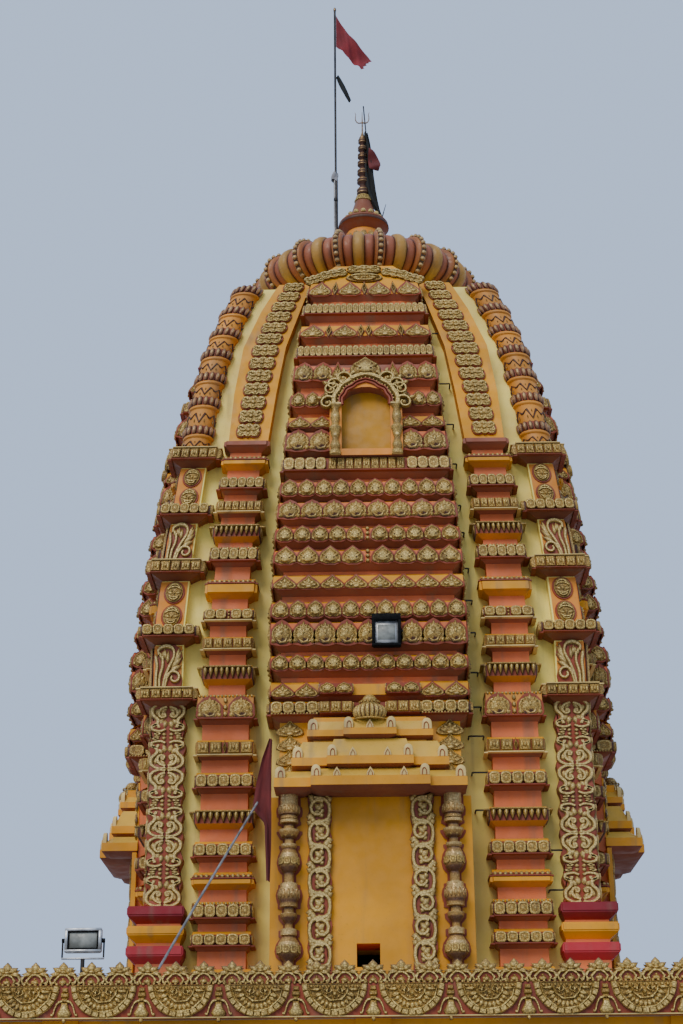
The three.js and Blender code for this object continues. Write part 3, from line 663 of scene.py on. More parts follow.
def pendant():
    """A bell hanging between two medallions, with a hook on each side and a bead below."""
    bell = [(0.16, 0.56), (-0.16, 0.56), (-0.24, 0.38), (-0.42, 0.22), (-0.3, 0.1), (0.3, 0.1), (0.42, 0.22)]
    hook = bend([(0.12, 0.6), (0.34, 0.56), (0.5, 0.4), (0.6, 0.2), (0.72, 0.2)], 10)
    return join(
        slab(-0.16, 0.16, 0, 0.45, 0.86, 1.0, lift=0.7, edge=0.03),
        slab(-0.22, 0.22, 0, 0.5, 0.70, 0.86, lift=0.75, edge=0.04),
        slab(-0.16, 0.16, 0, 0.5, 0.56, 0.70, lift=0.75, edge=0.04),
        relief([*bell, (0.24, 0.38)], [(1, 0, 0), (0.95, 0.4, 0.4), (0.7, 0.75, 0.9)], (0, 0.28), (0.9, 1)),
        dome(0, 0.02, 0.12, 0.6, 0, 8, 0.08),
        [moved(ridge(hook, 0.1, 0.05, 0.5), sx=s) for s in SIDES],
    )


def stems(*rows, high=0.6):
    """Curved ridges from rows of (points, count, width at the start, width at the end)."""
    return [ridge(bend(path, n), np.linspace(*wide, n), 0.2, high) for path, n, *wide in rows]


def lyre():
    """Half of the lattice's lyre: an upright S scroll with an inner curl and leaves, for the right side."""
    outer = [(0.06, 0.93), (0.2, 1.0), (0.42, 0.95), (0.42, 0.8), (0.28, 0.79), (0.25, 0.88)]
    body = [(0.42, 0.84), (0.28, 0.7), (0.3, 0.56), (0.43, 0.4), (0.43, 0.16), (0.22, 0.02), (0.04, 0.06)]
    inner = [(0.04, 0.12), (0.2, 0.2), (0.27, 0.36), (0.2, 0.5), (0.08, 0.47), (0.1, 0.36), (0.17, 0.38)]
    return join(
        stems((outer, 13, 0.11, 0.15), (body, 15, 0.16, 0.12), high=0.65),
        stems((inner, 14, 0.14, 0.1), high=0.55),
        petal(0.12, 0.54, 0.34, 0.2, 34, 0.2, 0.45),
        petal(0.32, 0.16, 0.34, 0.15, -6, 0.2, 0.4),
        petal(0.07, 0.58, 0.36, 0.18, 8, 0.2, 0.5),
        petal(0.06, 0.1, 0.34, 0.15, 24, 0.2, 0.4),
        dome(0.15, 0.42, 0.07, 0.7, 0.15, 6),
        dome(0.06, 0.02, 0.07, 0.6, 0.15, 6, 0.05),
    )


def knot_band():
    """The lattice's small band of four scrolls, for the right side."""
    return join(
        [scroll(1, 0.31, z, 0.12, 1.0, 90 * s, 0.11, 0.6, 9, 0.2) for z, s in ((0.27, -1), (0.73, 1))],
        petal(0.2, 0.5, 0.22, 0.3, 90, 0.2, 0.45),
        petals((0.1, 0.5, 0.42, 0.14, 0), (0.1, 0.5, 0.42, 0.14, 180)),
    )


def vine():
    """One turn of the niche's vine: a hooked scroll round two leaves, its stem, and leaves in the gaps."""
    stem = [(-0.24, -0.06), (-0.4, 0.06), (-0.47, 0.36), (-0.41, 0.7), (-0.16, 0.89), (0.24, 0.94)]
    return join(
        stems((stem, 15, 0.2, 0.2)),
        ridge(spiral(0.08, 0.47, 0.39, 0.22, 130, -165, 17), np.linspace(0.24, 0.17, 17), 0.2, 0.7),
        petals(
            (-0.12, 0.38, 0.5, 0.32, 50), (-0.1, 0.46, 0.36, 0.26, 4), (-0.04, 0.36, 0.34, 0.24, 98),
            (0.24, 0.86, 0.38, 0.3, 55), (0.18, 0.86, 0.34, 0.28, 98), (0.26, 0.14, 0.38, 0.32, 92),
            (0.2, 0.1, 0.36, 0.28, 146), (0.04, 0.06, 0.3, 0.26, 190), (-0.33, 0.82, 0.3, 0.3, -66),
            (-0.28, 0.92, 0.3, 0.28, -24), (-0.16, 0.08, 0.3, 0.24, 30),
        ),
        scroll(1, 0.38, 0.0, 0.13, 0.9, 0, 0.12, 0.5, 8, 0.2),
        dome(-0.14, 0.38, 0.1, 0.75, 0.2, 8),
    )  # fmt: skip


def foliage():
    """A corner panel: a stem that rolls over to the left at the top, two beside it, leaves fanning right
    and a scroll near the foot."""
    crook = [(-0.2, 0.0), (-0.14, 0.28), (0.02, 0.54), (0.18, 0.76), (0.12, 0.94), (-0.14, 0.99), (-0.38, 0.91)]
    roll = ridge(spiral(0, 0, 0.27, 0.08, 190, -220, 18), np.linspace(0.13, 0.11, 18), 0.2, 0.7)
    return join(
        stems(
            ([*crook, (-0.36, 0.8)], 18, 0.12, 0.12),
            ([(-0.44, 0.0), (-0.45, 0.3), (-0.42, 0.55), (-0.47, 0.72)], 9, 0.13, 0.13),
            ([(-0.32, 0.0), (-0.32, 0.3), (-0.22, 0.55), (-0.24, 0.76)], 9, 0.12, 0.12),
            ([(-0.14, 0.02), (-0.06, 0.26), (0.06, 0.4), (0.22, 0.48)], 9, 0.1, 0.1),
        ),
        moved(roll, x=0.2, z=0.29, sz=0.6),
        petals(
            (0.14, 0.56, 0.5, 0.17, 44), (0.24, 0.66, 0.36, 0.14, 24), (0.06, 0.5, 0.5, 0.16, 60),
            (0.02, 0.44, 0.48, 0.14, 74), (-0.06, 0.6, 0.32, 0.15, 6), (-0.12, 0.68, 0.28, 0.14, -10),
            (-0.3, 0.86, 0.2, 0.13, 176), (-0.22, 0.9, 0.22, 0.13, 168), (-0.42, 0.62, 0.24, 0.14, -24),
            (-0.26, 0.7, 0.22, 0.13, -30),
        ),
    )  # fmt: skip


def oval():
    """An oval boss of stacked curved bands: two arched over two round knobs, two sagging below them."""
    rings = [(1, 0, 0), (0.97, 0.34, 0.3), (0.89, 0.46, 0.95), (0.79, 0.34, 0.35), (0.6, 0.5, 0.5)]
    brows, folds = ((0.66, 0.26, 0.2), (0.58, 0.34, 0.16)), ((0.36, 0.26), (0.26, 0.2))
    return join(
        relief(arc(0, 0.5, 0.47, 0.49, 0, 345, 24), rings, (0, 0.5), (0.6, 0.6)),
        [ridge(arc(0, z, wide, tall, 10, 170, 11), 0.1, 0.4, 0.4) for z, wide, tall in brows],
        both(lambda s: [
            dome(s * 0.17, 0.55, 0.1, 0.55, 0.35, 8, 0.075, (0.3, 1.0)),
            dome(s * 0.17, 0.55, 0.045, 0.6, 0.42, 6, 0.035, (0.0, 0.0)),
            petal(s * 0.03, 0.42, 0.4, 0.16, s * 78, 0.42, 0.4),
        ]),
        dome(0, 0.46, 0.07, 0.95, 0.1, 7, 0.11),
        [ridge(arc(0, z, wide, 0.12, 188, 352, 9), 0.085, 0.4, 0.42) for z, wide in folds],
        petal(0, 0.74, 0.26, 0.2, 0, 0.3, 0.5),
    )  # fmt: skip


def dark_lined(rim, share, inner, wide):
    """A cream plaque with a dark line on it."""
    rings = [(1, 0, 0.5), (share, 0.8, 0.9), (0.86, 1, 1)]
    return join(relief(rim, rings, (0, 0.3), finish="cream"), ridge(inner, wide, 0.95, 0.25, finish="maroon"))


def ear():
    """A curled end ornament of the canopy, with its straight side to the left."""
    rim = [(-0.5, 0), (-0.5, 0.55), (-0.36, 0.86), (-0.05, 1), (0.3, 0.9), (0.5, 0.55), (0.5, 0)]
    inner = [(-0.16, 0), (-0.16, 0.34), (-0.06, 0.55), (0.1, 0.6), (0.24, 0.45), (0.28, 0)]
    return dark_lined(bend(rim, 14), 0.97, bend(inner, 12), 0.1)


def gable():
    """A small pointed arch on the canopy."""
    rim = [(-0.5, 0), (-0.46, 0.35), (-0.25, 0.68), (0, 1), (0.25, 0.68), (0.46, 0.35), (0.5, 0)]
    return dark_lined(rim, 0.96, [(-0.26, 0), (-0.24, 0.28), (0, 0.66), (0.24, 0.28), (0.26, 0)], 0.09)


def curl():
    """A leaf that rolls into a scroll, about 1 across and centred on its middle."""
    return join(
        ridge(spiral(0.05, 0, 0.42, 0.12, 200, -170, 15), np.linspace(0.2, 0.1, 15), 0, 0.8),
        dome(0.05, 0, 0.14, 0.9, 0, 7),
        petals((-0.3, 0.1, 0.55, 0.26, -35), (-0.1, 0.34, 0.45, 0.24, 10), base=0, high=0.6),
    )


def zigzag():
    """A drum's painted zigzag with diamonds between its points."""
    line = [(-0.5, 0.5), (-0.25, 0.9), (0, 0.1), (0.25, 0.9), (0.5, 0.5)]
    places = ((-0.25, 0.1), (0.25, 0.1), (0, 0.6))
    dots = [moved(diamond(), x=x, z=z, sx=0.07, sz=0.3, sd=1.2) for x, z in places]
    return join(ridge(line, 0.17, 0, 1, finish="umber"), dots)


def plate(rim, share=0.98):
    """A flat dark plate that sits behind a carving."""
    return relief(rim, [(1, 0, 0), (share, 1, 0)], (0, 0.5), finish="maroon")


def plates():
    """The plates with outlines of their own."""
    quarter = bend([(0.5, 0.5), (0.44, 0.86), (0.24, 0.97), (0.08, 0.88), (0, 0.99)], 8)
    half = mirrored(quarter)[:-1]
    leaf = [(0.42, 0), (0.5, 0.3), (0.3, 0.52), (0.5, 0.72), (0.3, 0.99), (-0.2, 1), (-0.48, 0.7), (-0.4, 0.35)]
    t = np.arange(49) / 48
    side = np.column_stack([0.455 + 0.045 * np.cos(t * 2 * math.pi * 9), t])
    return {
        "bow_plate": plate(np.concatenate([half, half * (-1, -1) + (0, 1)])),
        "oval_plate": plate(arc(0, 0.5, 0.5, 0.5, 0, 345, 20), 0.97),
        "leaf_plate": plate(bend([*leaf, (-0.46, 0)], 20)),
        "lattice_plate": plate(np.concatenate([side, side[::-1] * (-1, 1)]), 0.985),
    }


def backing(shape):
    """A flat dark plate a little larger than a carving's outline."""
    margin, apart = 0.07, 0.12
    flat = sorted(set(map(tuple, np.round(shape[0][:, (0, 2)], 3))))
    hull = []
    for run in (flat, flat[::-1]):
        side = []
        for x, z in run:
            while len(side) > 1:
                (ax, az), (bx, bz) = side[-2:]
                if (bx - ax) * (z - az) - (bz - az) * (x - ax) > 0:
                    break
                side.pop()
            side.append((x, z))
        hull += side[:-1]
    kept = [hull[0]]
    for point in hull[1:]:
        if math.dist(point, kept[-1]) > apart:
            kept.append(point)
    hull = np.array(kept)
    middle = (hull.min(0) + hull.max(0)) / 2
    away = hull - middle
    rim = hull + away / np.linalg.norm(away, axis=1)[:, None] * margin
    return relief(rim, [(1, 0, 0), (0.98, 0.22, 0)], middle, finish="maroon")


def repainted(shape, finish):
    """The same form, its gold in another finish."""
    points, corners, kinds = shape
    return points, corners, np.where(kinds == NAMES.index("gold"), NAMES.index(finish), kinds)


def thinned(shape, share):
    """The form with only that share of its triangles, each point's lift taken from the nearest old one."""
    points, corners, kinds = shape
    mesh = bpy.data.meshes.new("thinning")
    mesh.from_pydata(points[:, :3].tolist(), [], [[c for c in face if c >= 0] for face in corners.tolist()])
    mesh.polygons.foreach_set("material_index", kinds.astype(np.int32))
    thing = link("thinning", mesh)
    thing.modifiers.new("fewer", "DECIMATE").ratio = share
    bpy.context.view_layer.update()
    fewer = thing.evaluated_get(bpy.context.evaluated_depsgraph_get()).to_mesh()
    new = np.array([tuple(v.co) for v in fewer.vertices])
    apart = np.linalg.norm(new[:, None] - points[None, :, :3], axis=2)
    new = np.column_stack([new, points[apart.argmin(1), 3]])
    faces = np.array([[*polygon.vertices, -1][:4] for polygon in fewer.polygons])
    finishes = np.array([polygon.material_index for polygon in fewer.polygons])
    bpy.data.objects.remove(thing)
    bpy.data.meshes.remove(mesh)
    return new, faces, finishes


def make_carvings():
    made = {make.__name__: make() for make in (block, square, tooth, diamond, divider, pendant, foliage)}
    made.update({make.__name__: make() for make in (curl, ear, gable, zigzag)})
    shares = {shell: 0.48, mask: 0.42, heart: 0.55, bow: 0.45, bud: 0.52, medallion: 0.52, vine: 0.75, oval: 0.6}
    made.update({make.__name__: thinned(make(), share) for make, share in shares.items()})
    made.update(crest=thinned(shell(0.22), 0.5), inner_bud=thinned(bud(), 0.3))
    made.update(lyre=pair(lyre()), knots=pair(knot_band()), **plates())
    for name in ("shell", "mask", "heart", "crest", "diamond"):
        made[f"{name}_plate"] = backing(made[name])
    for name in ("vine", "foliage", "lyre", "knots"):
        made[name] = repainted(made[name], "light_gold")
    return made


CARVING = make_carvings()


# Placing: a carving's own x and z lie along one of the tower's four faces, and it leans with the tower

PIECES = {}


def add(piece, shape, turn=0):
    """Adds a form in world coordinates to a piece, after so many quarter turns about the tower's axis."""
    points, corners, finish = shape
    x, y = points[:, 0], points[:, 1]
    for _ in range(turn % 4):
        x, y = -y, x
    PIECES.setdefault(piece, []).append((np.column_stack([x, y, points[:, 2:]]), corners, finish))


def put(piece, shape, turn=0, u=0, face=0, z=0, sx=1, sz=1, sd=1, lean=True, narrow=False):
    """Puts a form, or the carving of that name, at u along the face that looks out after so many quarter
    turns, face metres out. Both are the values at the tower's foot, and narrow with it where lean is
    true. With narrow, so does the form's own width."""
    points, corners, finish = CARVING[shape] if isinstance(shape, str) else shape
    height = z + points[:, 2] * sz
    k = taper(height) if lean else np.ones(len(points))
    x = u * k + points[:, 0] * sx * (k if narrow else 1)
    y = -(face * k + points[:, 1] * sd)
    add(piece, (np.column_stack([x, y, height, points[:, 3]]), corners, finish), turn)


def plank(piece, turn, face, box, finish, edge=0.0, lean=True):
    """Puts a block with the given (x0, x1, d0, d1, z0, z1) on a face."""
    put(piece, slab(*box, finish, edge=edge), turn, 0, face, lean=lean)


def on_axis(piece, *forms):
    """Puts forms on the tower's axis, as they are."""
    put(piece, join(*forms), lean=False)


def row(piece, turn, low, high, left, right, face, items, out=0.06, over=0.0, drop=0.0, lean=True):
    """A row of carvings across a band, each item (carving, share of the width)."""
    k = float(taper(low)) if lean else 1.0
    total = sum(share for _, share in items)
    tall, at = high - low + over + drop, left
    for name, share in items:
        wide = (right - left) * share / total
        for shape in (name, f"{name}_plate"):
            if shape in CARVING:
                put(piece, shape, turn, at + wide / 2, face, low - drop, wide * k, tall, out, lean)
        at += wide


def finished(name, mesh, finish):
    """The piece made of a mesh in one finish. It rides on the root."""
    mesh.materials.append(MATERIALS[finish])
    mesh.update()
    piece = link(name, mesh)
    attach(piece, "root")
    return piece


def build_pieces():
    """Makes an object of each piece and finish."""
    made, sharp = {}, math.radians(48)
    for name, forms in PIECES.items():
        points, corners, finish = join(forms)
        made[name] = {}
        for index in np.unique(finish):
            own = corners[finish == index]
            used = np.unique(own[own >= 0])
            new = np.full(len(points), -1)
            new[used] = np.arange(len(used))
            mesh = bpy.data.meshes.new(name)
            faces = [[int(new[c]) for c in face if c >= 0] for face in own]
            mesh.from_pydata(points[used, :3].tolist(), [], faces)
            lift = mesh.attributes.new("lift", "FLOAT", "POINT")
            lift.data.foreach_set("value", points[used, 3].astype(np.float32))
            mesh.shade_smooth()
            mesh.set_sharp_from_angle(angle=sharp)
            made[name][NAMES[index]] = finished(f"{name}_{NAMES[index]}", mesh, NAMES[index])
    return made


# Bands of the piers: lower edge, upper edge, carvings from left to right and their share of the width,
# kind. The kind is the finish, or for the side piers says which strips go with the carvings.


def times(name, count, share=1):
    return [(name, share)] * count


def split(name, count, share):
    """Carvings on both sides of a narrow stack of beads."""
    return [*times(name, count), ("divider", share), *times(name, count)]


HEART, DIAMOND, GAP = ("heart", 1), ("diamond", 0.32), ("", 0.2)
CENTRE_BANDS = [
    (7.68, 7.83, times("block", 4), "maroon"),
    (7.93, 8.07, times("heart", 2), "ochre"),
    (8.28, 8.42, times("shell", 11), "coral"),
    (8.62, 8.88, times("mask", 9), "coral"),
    (8.98, 9.15, times("shell", 11), "coral"),
    (9.38, 9.53, times("heart", 8), "ochre"),
    (9.73, 9.89, split("crest", 4, 0.35), "coral"),
    (10.06, 10.22, split("shell", 5, 0.4), "coral"),
    (10.40, 10.61, times("mask", 8), "coral"),
    (10.74, 10.92, times("shell", 10), "coral"),
    (11.10, 11.29, [*times("block", 4), GAP, *times("square", 9, 0.8), GAP, *times("block", 4)], "maroon"),
    (11.44, 11.70, times("mask", 2), "coral"),
    (11.80, 11.94, times("heart", 2), "ochre"),
    (12.14, 12.31, times("shell", 3), "coral"),
    (12.57, 12.81, [*times("mask", 2), ("heart", 0.6)], "coral"),
    (12.95, 13.13, times("block", 22), "maroon"),
    (13.33, 13.52, [HEART, DIAMOND] * 2 + [DIAMOND, HEART] * 2, "ochre"),
    (13.75, 13.94, times("block", 20), "maroon"),
    (14.16, 14.40, ([HEART, DIAMOND] * 4)[:-1], "ochre"),
]
# Bands that the lower canopy or the upper niche parts, and where their carvings end
PARTED = {7.68: 0.64, 7.93: 0.64, 11.44: 0.5, 11.80: 0.5, 12.14: 0.5, 12.57: 0.36}
CENTRE_FACE = 3.27

SIDE_BANDS = [
    (4.44, 4.58, times("block", 4), "dark"),
    (4.90, 5.03, times("block", 5), "dark"),
    (5.23, 5.39, times("block", 5), "beaded"),
    (5.64, 5.75, [], "beads"),
    (5.98, 6.13, times("block", 5), "dark"),
    (6.39, 6.53, times("tooth", 9), "yellow"),
    (6.84, 7.00, times("block", 5), "dark"),
    (7.27, 7.42, [*times("square", 2), ("diamond", 0.4), *times("square", 2)], "fillet"),
    (7.73, 8.01, split("mask", 1, 0.3), "beaded"),
    (8.25, 8.40, times("tooth", 9), "yellow"),
    (8.66, 8.79, times("square", 5), "fillet"),
    (9.05, 9.18, split("block", 2, 0.4), "fillet"),
    (9.43, 9.60, [], "beads"),
    (9.89, 10.06, times("block", 5), "beaded"),
    (10.25, 10.39, times("tooth", 9), "yellow"),
    (10.63, 10.77, times("square", 6), "fillet"),
    (10.97, 11.13, times("block", 5), "dark"),
    (11.35, 11.46, [], "beads"),
    (11.63, 11.72, [], "plain"),
]
SIDE_LOWER, SIDE_UPPER, SIDE_CHANGE, SIDE_FACE = (1.475, 2.185), (1.50, 2.13), 8.02, 2.965
# The strips of each kind of side band: the edge each side is measured from (0 lower, 1 upper) and how
# far it is from that, then how far the strip stands out, its finish and its bevel
EDGING = [(0, -0.02, 0, 0.005, 0.05, "maroon", 0.006)]
SIDE_STRIPS = {
    "beads": [(0, -0.01, 1, -0.05, 0.03, "ochre", 0.01), (1, -0.05, 1, -0.035, 0.04, "maroon", 0)],
    "fillet": [(0, -0.03, 0, -0.005, 0.045, "cream", 0.006)],
    "yellow": [(1, -0.012, 1, 0.012, 0.075, "gold", 0.005)],
    "plain": [(0, 0, 1, 0, 0.03, "brick", 0.015)],
    "dark": EDGING,
    "beaded": EDGING,
}
# Bead rows of the side bands: height over the upper edge, radius
SIDE_BEADS = {"beads": (-0.015, 0.028), "beaded": (0.012, 0.02)}

CORNER_BANDS = [
    (4.32, 4.46, "ochre"),
    (4.78, 4.90, "rose"),
    (5.03, 5.14, "ochre"),
    (5.26, 5.38, "crimson"),
    (8.00, 8.11, "square"),
    (8.85, 8.97, "block"),
    (9.75, 9.88, "square"),
    (10.60, 10.73, "block"),
    (11.46, 11.59, "square"),
]
CORNER_BASE, CORNER_UPPER, CORNER_CHANGE = (2.30, 2.975), (2.25, 2.93), 5.4


# Dressing of the CAD solids: a finish for each polygon


def banded(bands, shaft, faces, centre, normal, bevel=0.08):
    """The finish at a place on a banded pier. faces(low, kind) gives a band's (front, underside)."""
    close = 1e-3
    band = next((b for b in bands if b[0] - bevel - close <= centre.z <= b[1] + close), None)
    if band is None:
        return shaft
    front, under = faces(band[0], band[-1])
    if normal.z < -0.2:
        return under
    if normal.z > 0.7:
        return "ochre"
    return front if centre.z >= band[0] - close else shaft


def foot_radius(centre):
    """How far out a place is, scaled to the tower's foot."""
    return max(abs(centre.x), abs(centre.y)) / float(taper(centre.z))


def centre_pier(centre, normal):
    if centre.z > 14.41 or 6.7 < centre.z < 7.6:
        return "ochre"
    if 11.3 < centre.z < 12.8 and min(abs(centre.x), abs(centre.y)) < 0.485:
        radius = foot_radius(centre)
        return "mustard" if radius < 3.2 else "brick" if radius < 3.34 else "board"
    # Band undersides take the darker coral as painted shade
    return banded(CENTRE_BANDS, "coral", lambda low, kind: (kind, "brick"), centre, normal)


def side_pier(centre, normal):
    def faces(low, kind):
        if kind in ("yellow", "beads"):
            return "maroon", "amber"
        # Undersides of the other bands take the darker coral as painted shade
        return {7.73: "amber", 11.63: "brick"}.get(low, "maroon"), "brick"

    if centre.z > 11.725:
        return "ochre" if foot_radius(centre) > 2.9 else "board"
    return banded(SIDE_BANDS, "coral", faces, centre, normal, 0.055)


def corner_pier(centre, normal):
    def faces(low, kind):
        return ("maroon", "rust") if kind in ("square", "block") else (kind, kind)

    found = banded(CORNER_BANDS, "pale", faces, centre, normal)
    if found == "ochre" and normal.z > 0.7 and centre.z > 8:
        return "pale"
    return "coral" if found == "pale" and centre.z < 5.25 else found


# The finish of the solids by how their names start: a finish, or a function of a place and its normal
DRESS = {
    "centre_pier": centre_pier,
    "side_pier": side_pier,
    "corner_pier": corner_pier,
    "tower_wall": "pale",
    "tower_top": "pale",
    "plinth": "concrete",
    "roof_slab": "concrete",
    "colonnade": lambda centre, normal: "maroon" if centre.z < 0.39 else "ochre",
    "sanctum_door": "maroon",
    "sanctum": lambda centre, normal: "board" if centre.z > 0.9 else "maroon",
    "crown_neck": "board",
    "flag_pole": "steel",
    "": "gold",
}


def dress_frame():
    for name, thing in nodes.items():
        rule = next(rule for start, rule in DRESS.items() if name.startswith(start))
        mesh, kinds = thing.data, []
        mesh.materials.clear()
        for polygon in mesh.polygons:
            kind = rule if isinstance(rule, str) else rule(polygon.center, polygon.normal)
            if kind not in kinds:
                kinds.append(kind)
                mesh.materials.append(MATERIALS[kind])
            polygon.material_index = kinds.index(kind)


# Piers


def ledge(piece, turn, low, left, right, face, out, tall=0.07):
    """A slope that leads from a band's upper edge back to the shaft."""
    points = [(left, 0, 0, 0.8), (right, 0, 0, 0.8), (right, -out, tall, 0.8), (left, -out, tall, 0.8)]
    put(piece, form(points, [(0, 1, 2, 3)], "ochre"), turn, 0, face, low, narrow=True)


def strip(piece, turn, low, high, left, right, face, out, kind, edge=0.0):
    """A plain raised strip along a band."""
    put(piece, slab(left, right, -0.01, out, 0, high - low, kind, edge=edge), turn, 0, face, low, narrow=True)


def bead_row(piece, turn, z, left, right, face, r):
    k = float(taper(z))
    count = max(2, round((right - left) * k / (r * 2.3)))
    put(piece, beads(left * k, right * k, 0, r, count), turn, 0, face, z)


def end_items(items, count):
    """The carvings for a pier's narrow ends: its first one, repeated."""
    names = [name for name, _ in items if name not in ("divider", "diamond")]
    return times(names[0], count) if names else []


def centre_carvings():
    for turn, side in enumerate(FACES):
        for low, high, items, kind in CENTRE_BANDS:
            centre_band(f"centre_carving_{side}", turn, low, high, items, kind)


def centre_band(piece, turn, low, high, items, kind):
    half = graph(low, [10.0, 13.0], [1.24, 1.14])
    small, plain = len(items) > 15, kind == "maroon"
    over, out, hang = 0.04 if kind == "coral" else 0.015, 0.055 if small else 0.08, 0.0 if plain else 0.028

    def carve(at, left, right, face, own, out):
        row(piece, at, low, high, left, right, face, own, out, over, hang)
        if plain:
            strip(piece, at, low - 0.016, low + 0.012, left, right, face, 0.05, "maroon", 0.008)
        if plain and not small:
            bead_row(piece, at, low + 0.004, left, right, face + 0.045, 0.017)

    ends = end_items(items, 7 if small else 3)
    carve(turn + 1, -CENTRE_FACE, -WALL, half, ends, out * 0.8)
    carve(turn + 3, WALL, CENTRE_FACE, half, ends, out * 0.8)
    gap = PARTED.get(low)
    spans = [(-half, half, items)] if gap is None else [(-half, -gap, items), (gap, half, items[::-1])]
    for left, right, own in spans:
        carve(turn, left, right, CENTRE_FACE, own, out)
        ledge(piece, turn, high, left, right, CENTRE_FACE, 0.14)


def side_carvings():
    for turn, side in enumerate(FACES):
        for name, sign in (("right", 1), ("left", -1)):
            for band in SIDE_BANDS:
                side_band(f"side_carving_{side}_{name}", turn, sign, *band)
            rib_chain(f"rib_chain_{side}_{name}", turn, sign)


def side_band(piece, turn, sign, low, high, items, kind):
    left, right = sorted(u * sign for u in (SIDE_LOWER if low < SIDE_CHANGE else SIDE_UPPER))
    ends = end_items(items, 5 if kind == "yellow" else 2)
    for at, x0, x1, face, own, out in (
        (turn, left, right, SIDE_FACE, items, 0.065),
        (turn + 1, -SIDE_FACE, -WALL, right, ends, 0.03),
        (turn + 3, WALL, SIDE_FACE, -left, ends, 0.03),
    ):
        row(piece, at, low - 0.006, high, x0, x1, face, own, out, 0.01)
        if kind in SIDE_BEADS:
            rise, r = SIDE_BEADS[kind]
            bead_row(piece, at, high + rise, x0, x1, face, r)
        for a, below, b, above, *how in SIDE_STRIPS[kind]:
            strip(piece, at, (low, high)[a] + below, (low, high)[b] + above, x0, x1, face, *how)
    if kind != "plain":
        ledge(piece, turn, high, left, right, SIDE_FACE, 0.10, 0.05)


# The curved rib slabs: height, and the middle and half of their width there
RIB = [11.72, 12.5, 13.3, 14.0, 14.56], [1.825, 1.79, 1.745, 1.65, 1.55], [0.18, 0.205, 0.235, 0.24, 0.22]


def rib_chain(piece, turn, sign):
    """The chain of double scrolls up a curved slab, each over a dark plate with the same outline."""
    z, end, face = 11.78, 14.54, 2.92
    while z < end - 0.1:
        k = float(taper(z))
        tall = 0.245 * (0.4 + 0.6 * k)
        middle, half = graph(z + tall / 2, *RIB)
        x, wide = middle * sign, 2 * k * half
        put(piece, "bow", turn, x, face, z, wide, tall * 0.99, 0.075)
        put(piece, "bow_plate", turn, x, face, z - 0.012, wide * 1.06, tall * 1.05, 0.025)
        z += tall


def corner_sides(turn, low):
    """The two outer faces of a corner pier and its two narrow ends: turn, left, right, face."""
    inner, outer = CORNER_BASE if low < CORNER_CHANGE else CORNER_UPPER
    yield turn, -outer, -inner, outer
    yield turn + 3, inner, outer, outer
    yield turn + 1, -outer, -WALL, -inner
    yield turn + 2, WALL, outer, -inner


def corner_carvings():
    for turn, corner in enumerate(CORNERS):
        piece = f"corner_carving_{corner}"
        for low, high, kind in CORNER_BANDS:
            for at, left, right, face in corner_sides(turn, low):
                if kind not in ("square", "block"):
                    strip(piece, at, low + 0.01, high - 0.01, left, right, face, 0.012, kind, 0.01)
                    continue
                items = times(kind, 5 if right - left > 0.5 else 3)
                row(piece, at, low, high, left, right, face, items, 0.07, 0.03)
                strip(piece, at, low - 0.02, low, left, right, face, 0.05, "maroon", 0.006)
                if kind == "square":
                    strip(piece, at, high + 0.025, high + 0.045, left, right, face, 0.06, "cream", 0.005)
        corner_panels(f"corner_panels_{corner}", turn, -1)
        corner_panels(f"corner_panels_{corner}", turn + 3, 1)


def corner_panels(piece, turn, sign):
    """Mask pairs, leaf panels and the tall lattice on a corner pier's outer face."""
    face, x = 2.77, 2.585 * sign
    left, right = sorted((2.775 * sign, 2.42 * sign))
    for low, high, leafy in ((8.13, 8.76, True), (8.99, 9.66, False), (9.9, 10.51, True), (10.75, 11.37, False)):
        k, tall = float(taper((low + high) / 2)), high - low
        board = slab(left, right, -0.02, 0.012, 0, tall, "board", edge=0.004)
        put(piece, board, turn, 0, face, low, narrow=True)
        if leafy:
            back = moved(CARVING["leaf_plate"], sx=-sign, sz=tall)
            put(piece, back, turn, x, face + 0.01, low, 0.355 * k, 1, 0.02)
            leaves = moved(CARVING["foliage"], sx=-sign)
            put(piece, leaves, turn, x, face + 0.025, low + 0.01, 0.36 * k, tall * 0.97, 0.05)
            continue
        for z in (low, low + tall / 2):
            put(piece, "oval_plate", turn, x, face + 0.01, z + 0.01, 0.285 * k, tall * 0.49, 0.02)
            put(piece, "oval", turn, x, face + 0.02, z + 0.025, 0.255 * k, tall * 0.45, 0.06)
    lattice(piece, turn, 2.575 * sign, face)


def lattice(piece, turn, x, face):
    """Six lyres above each other, every other one upside down, with three bands of scrolls between."""
    low, high, lyres, band = 5.40, 7.98, 6, 0.36
    back = moved(CARVING["lattice_plate"], sz=high - low)
    put(piece, back, turn, x, WALL + 0.005, low, 0.47, 1, face - WALL + 0.01)
    unit, z = (high - low) / (lyres + 3 * band), low
    for i in range(lyres):
        shape = moved(CARVING["lyre"], sz=-1, z=1) if i % 2 else CARVING["lyre"]
        put(piece, shape, turn, x, face + 0.006, z, 0.455, unit, 0.05)
        z += unit
        if i % 2 == 0 and z < high - unit:
            put(piece, "knots", turn, x, face + 0.006, z, 0.455, unit * band, 0.05)
            z += unit * band


def put_round(piece, shape, turn):
    """Places a turned form round a corner of the tower."""
    points, corners, finish = shape
    k = taper(points[:, 2])
    x, y = -WALL * k + points[:, 0], -WALL * k - points[:, 1]
    add(piece, (np.column_stack([x, y, points[:, 2:]]), corners, finish), turn)


def round_on(shape, radius, middle, span, low, tall, out):
    """Wraps a flat form round a drum: its x becomes an angle in degrees and its d goes outwards."""
    points, corners, finish = shape
    angle = np.radians(middle - points[:, 0] * span)
    r = radius + points[:, 1] * out
    made = np.column_stack([r * np.cos(angle), r * np.sin(angle), low + points[:, 2] * tall, points[:, 3]])
    return made, corners, finish


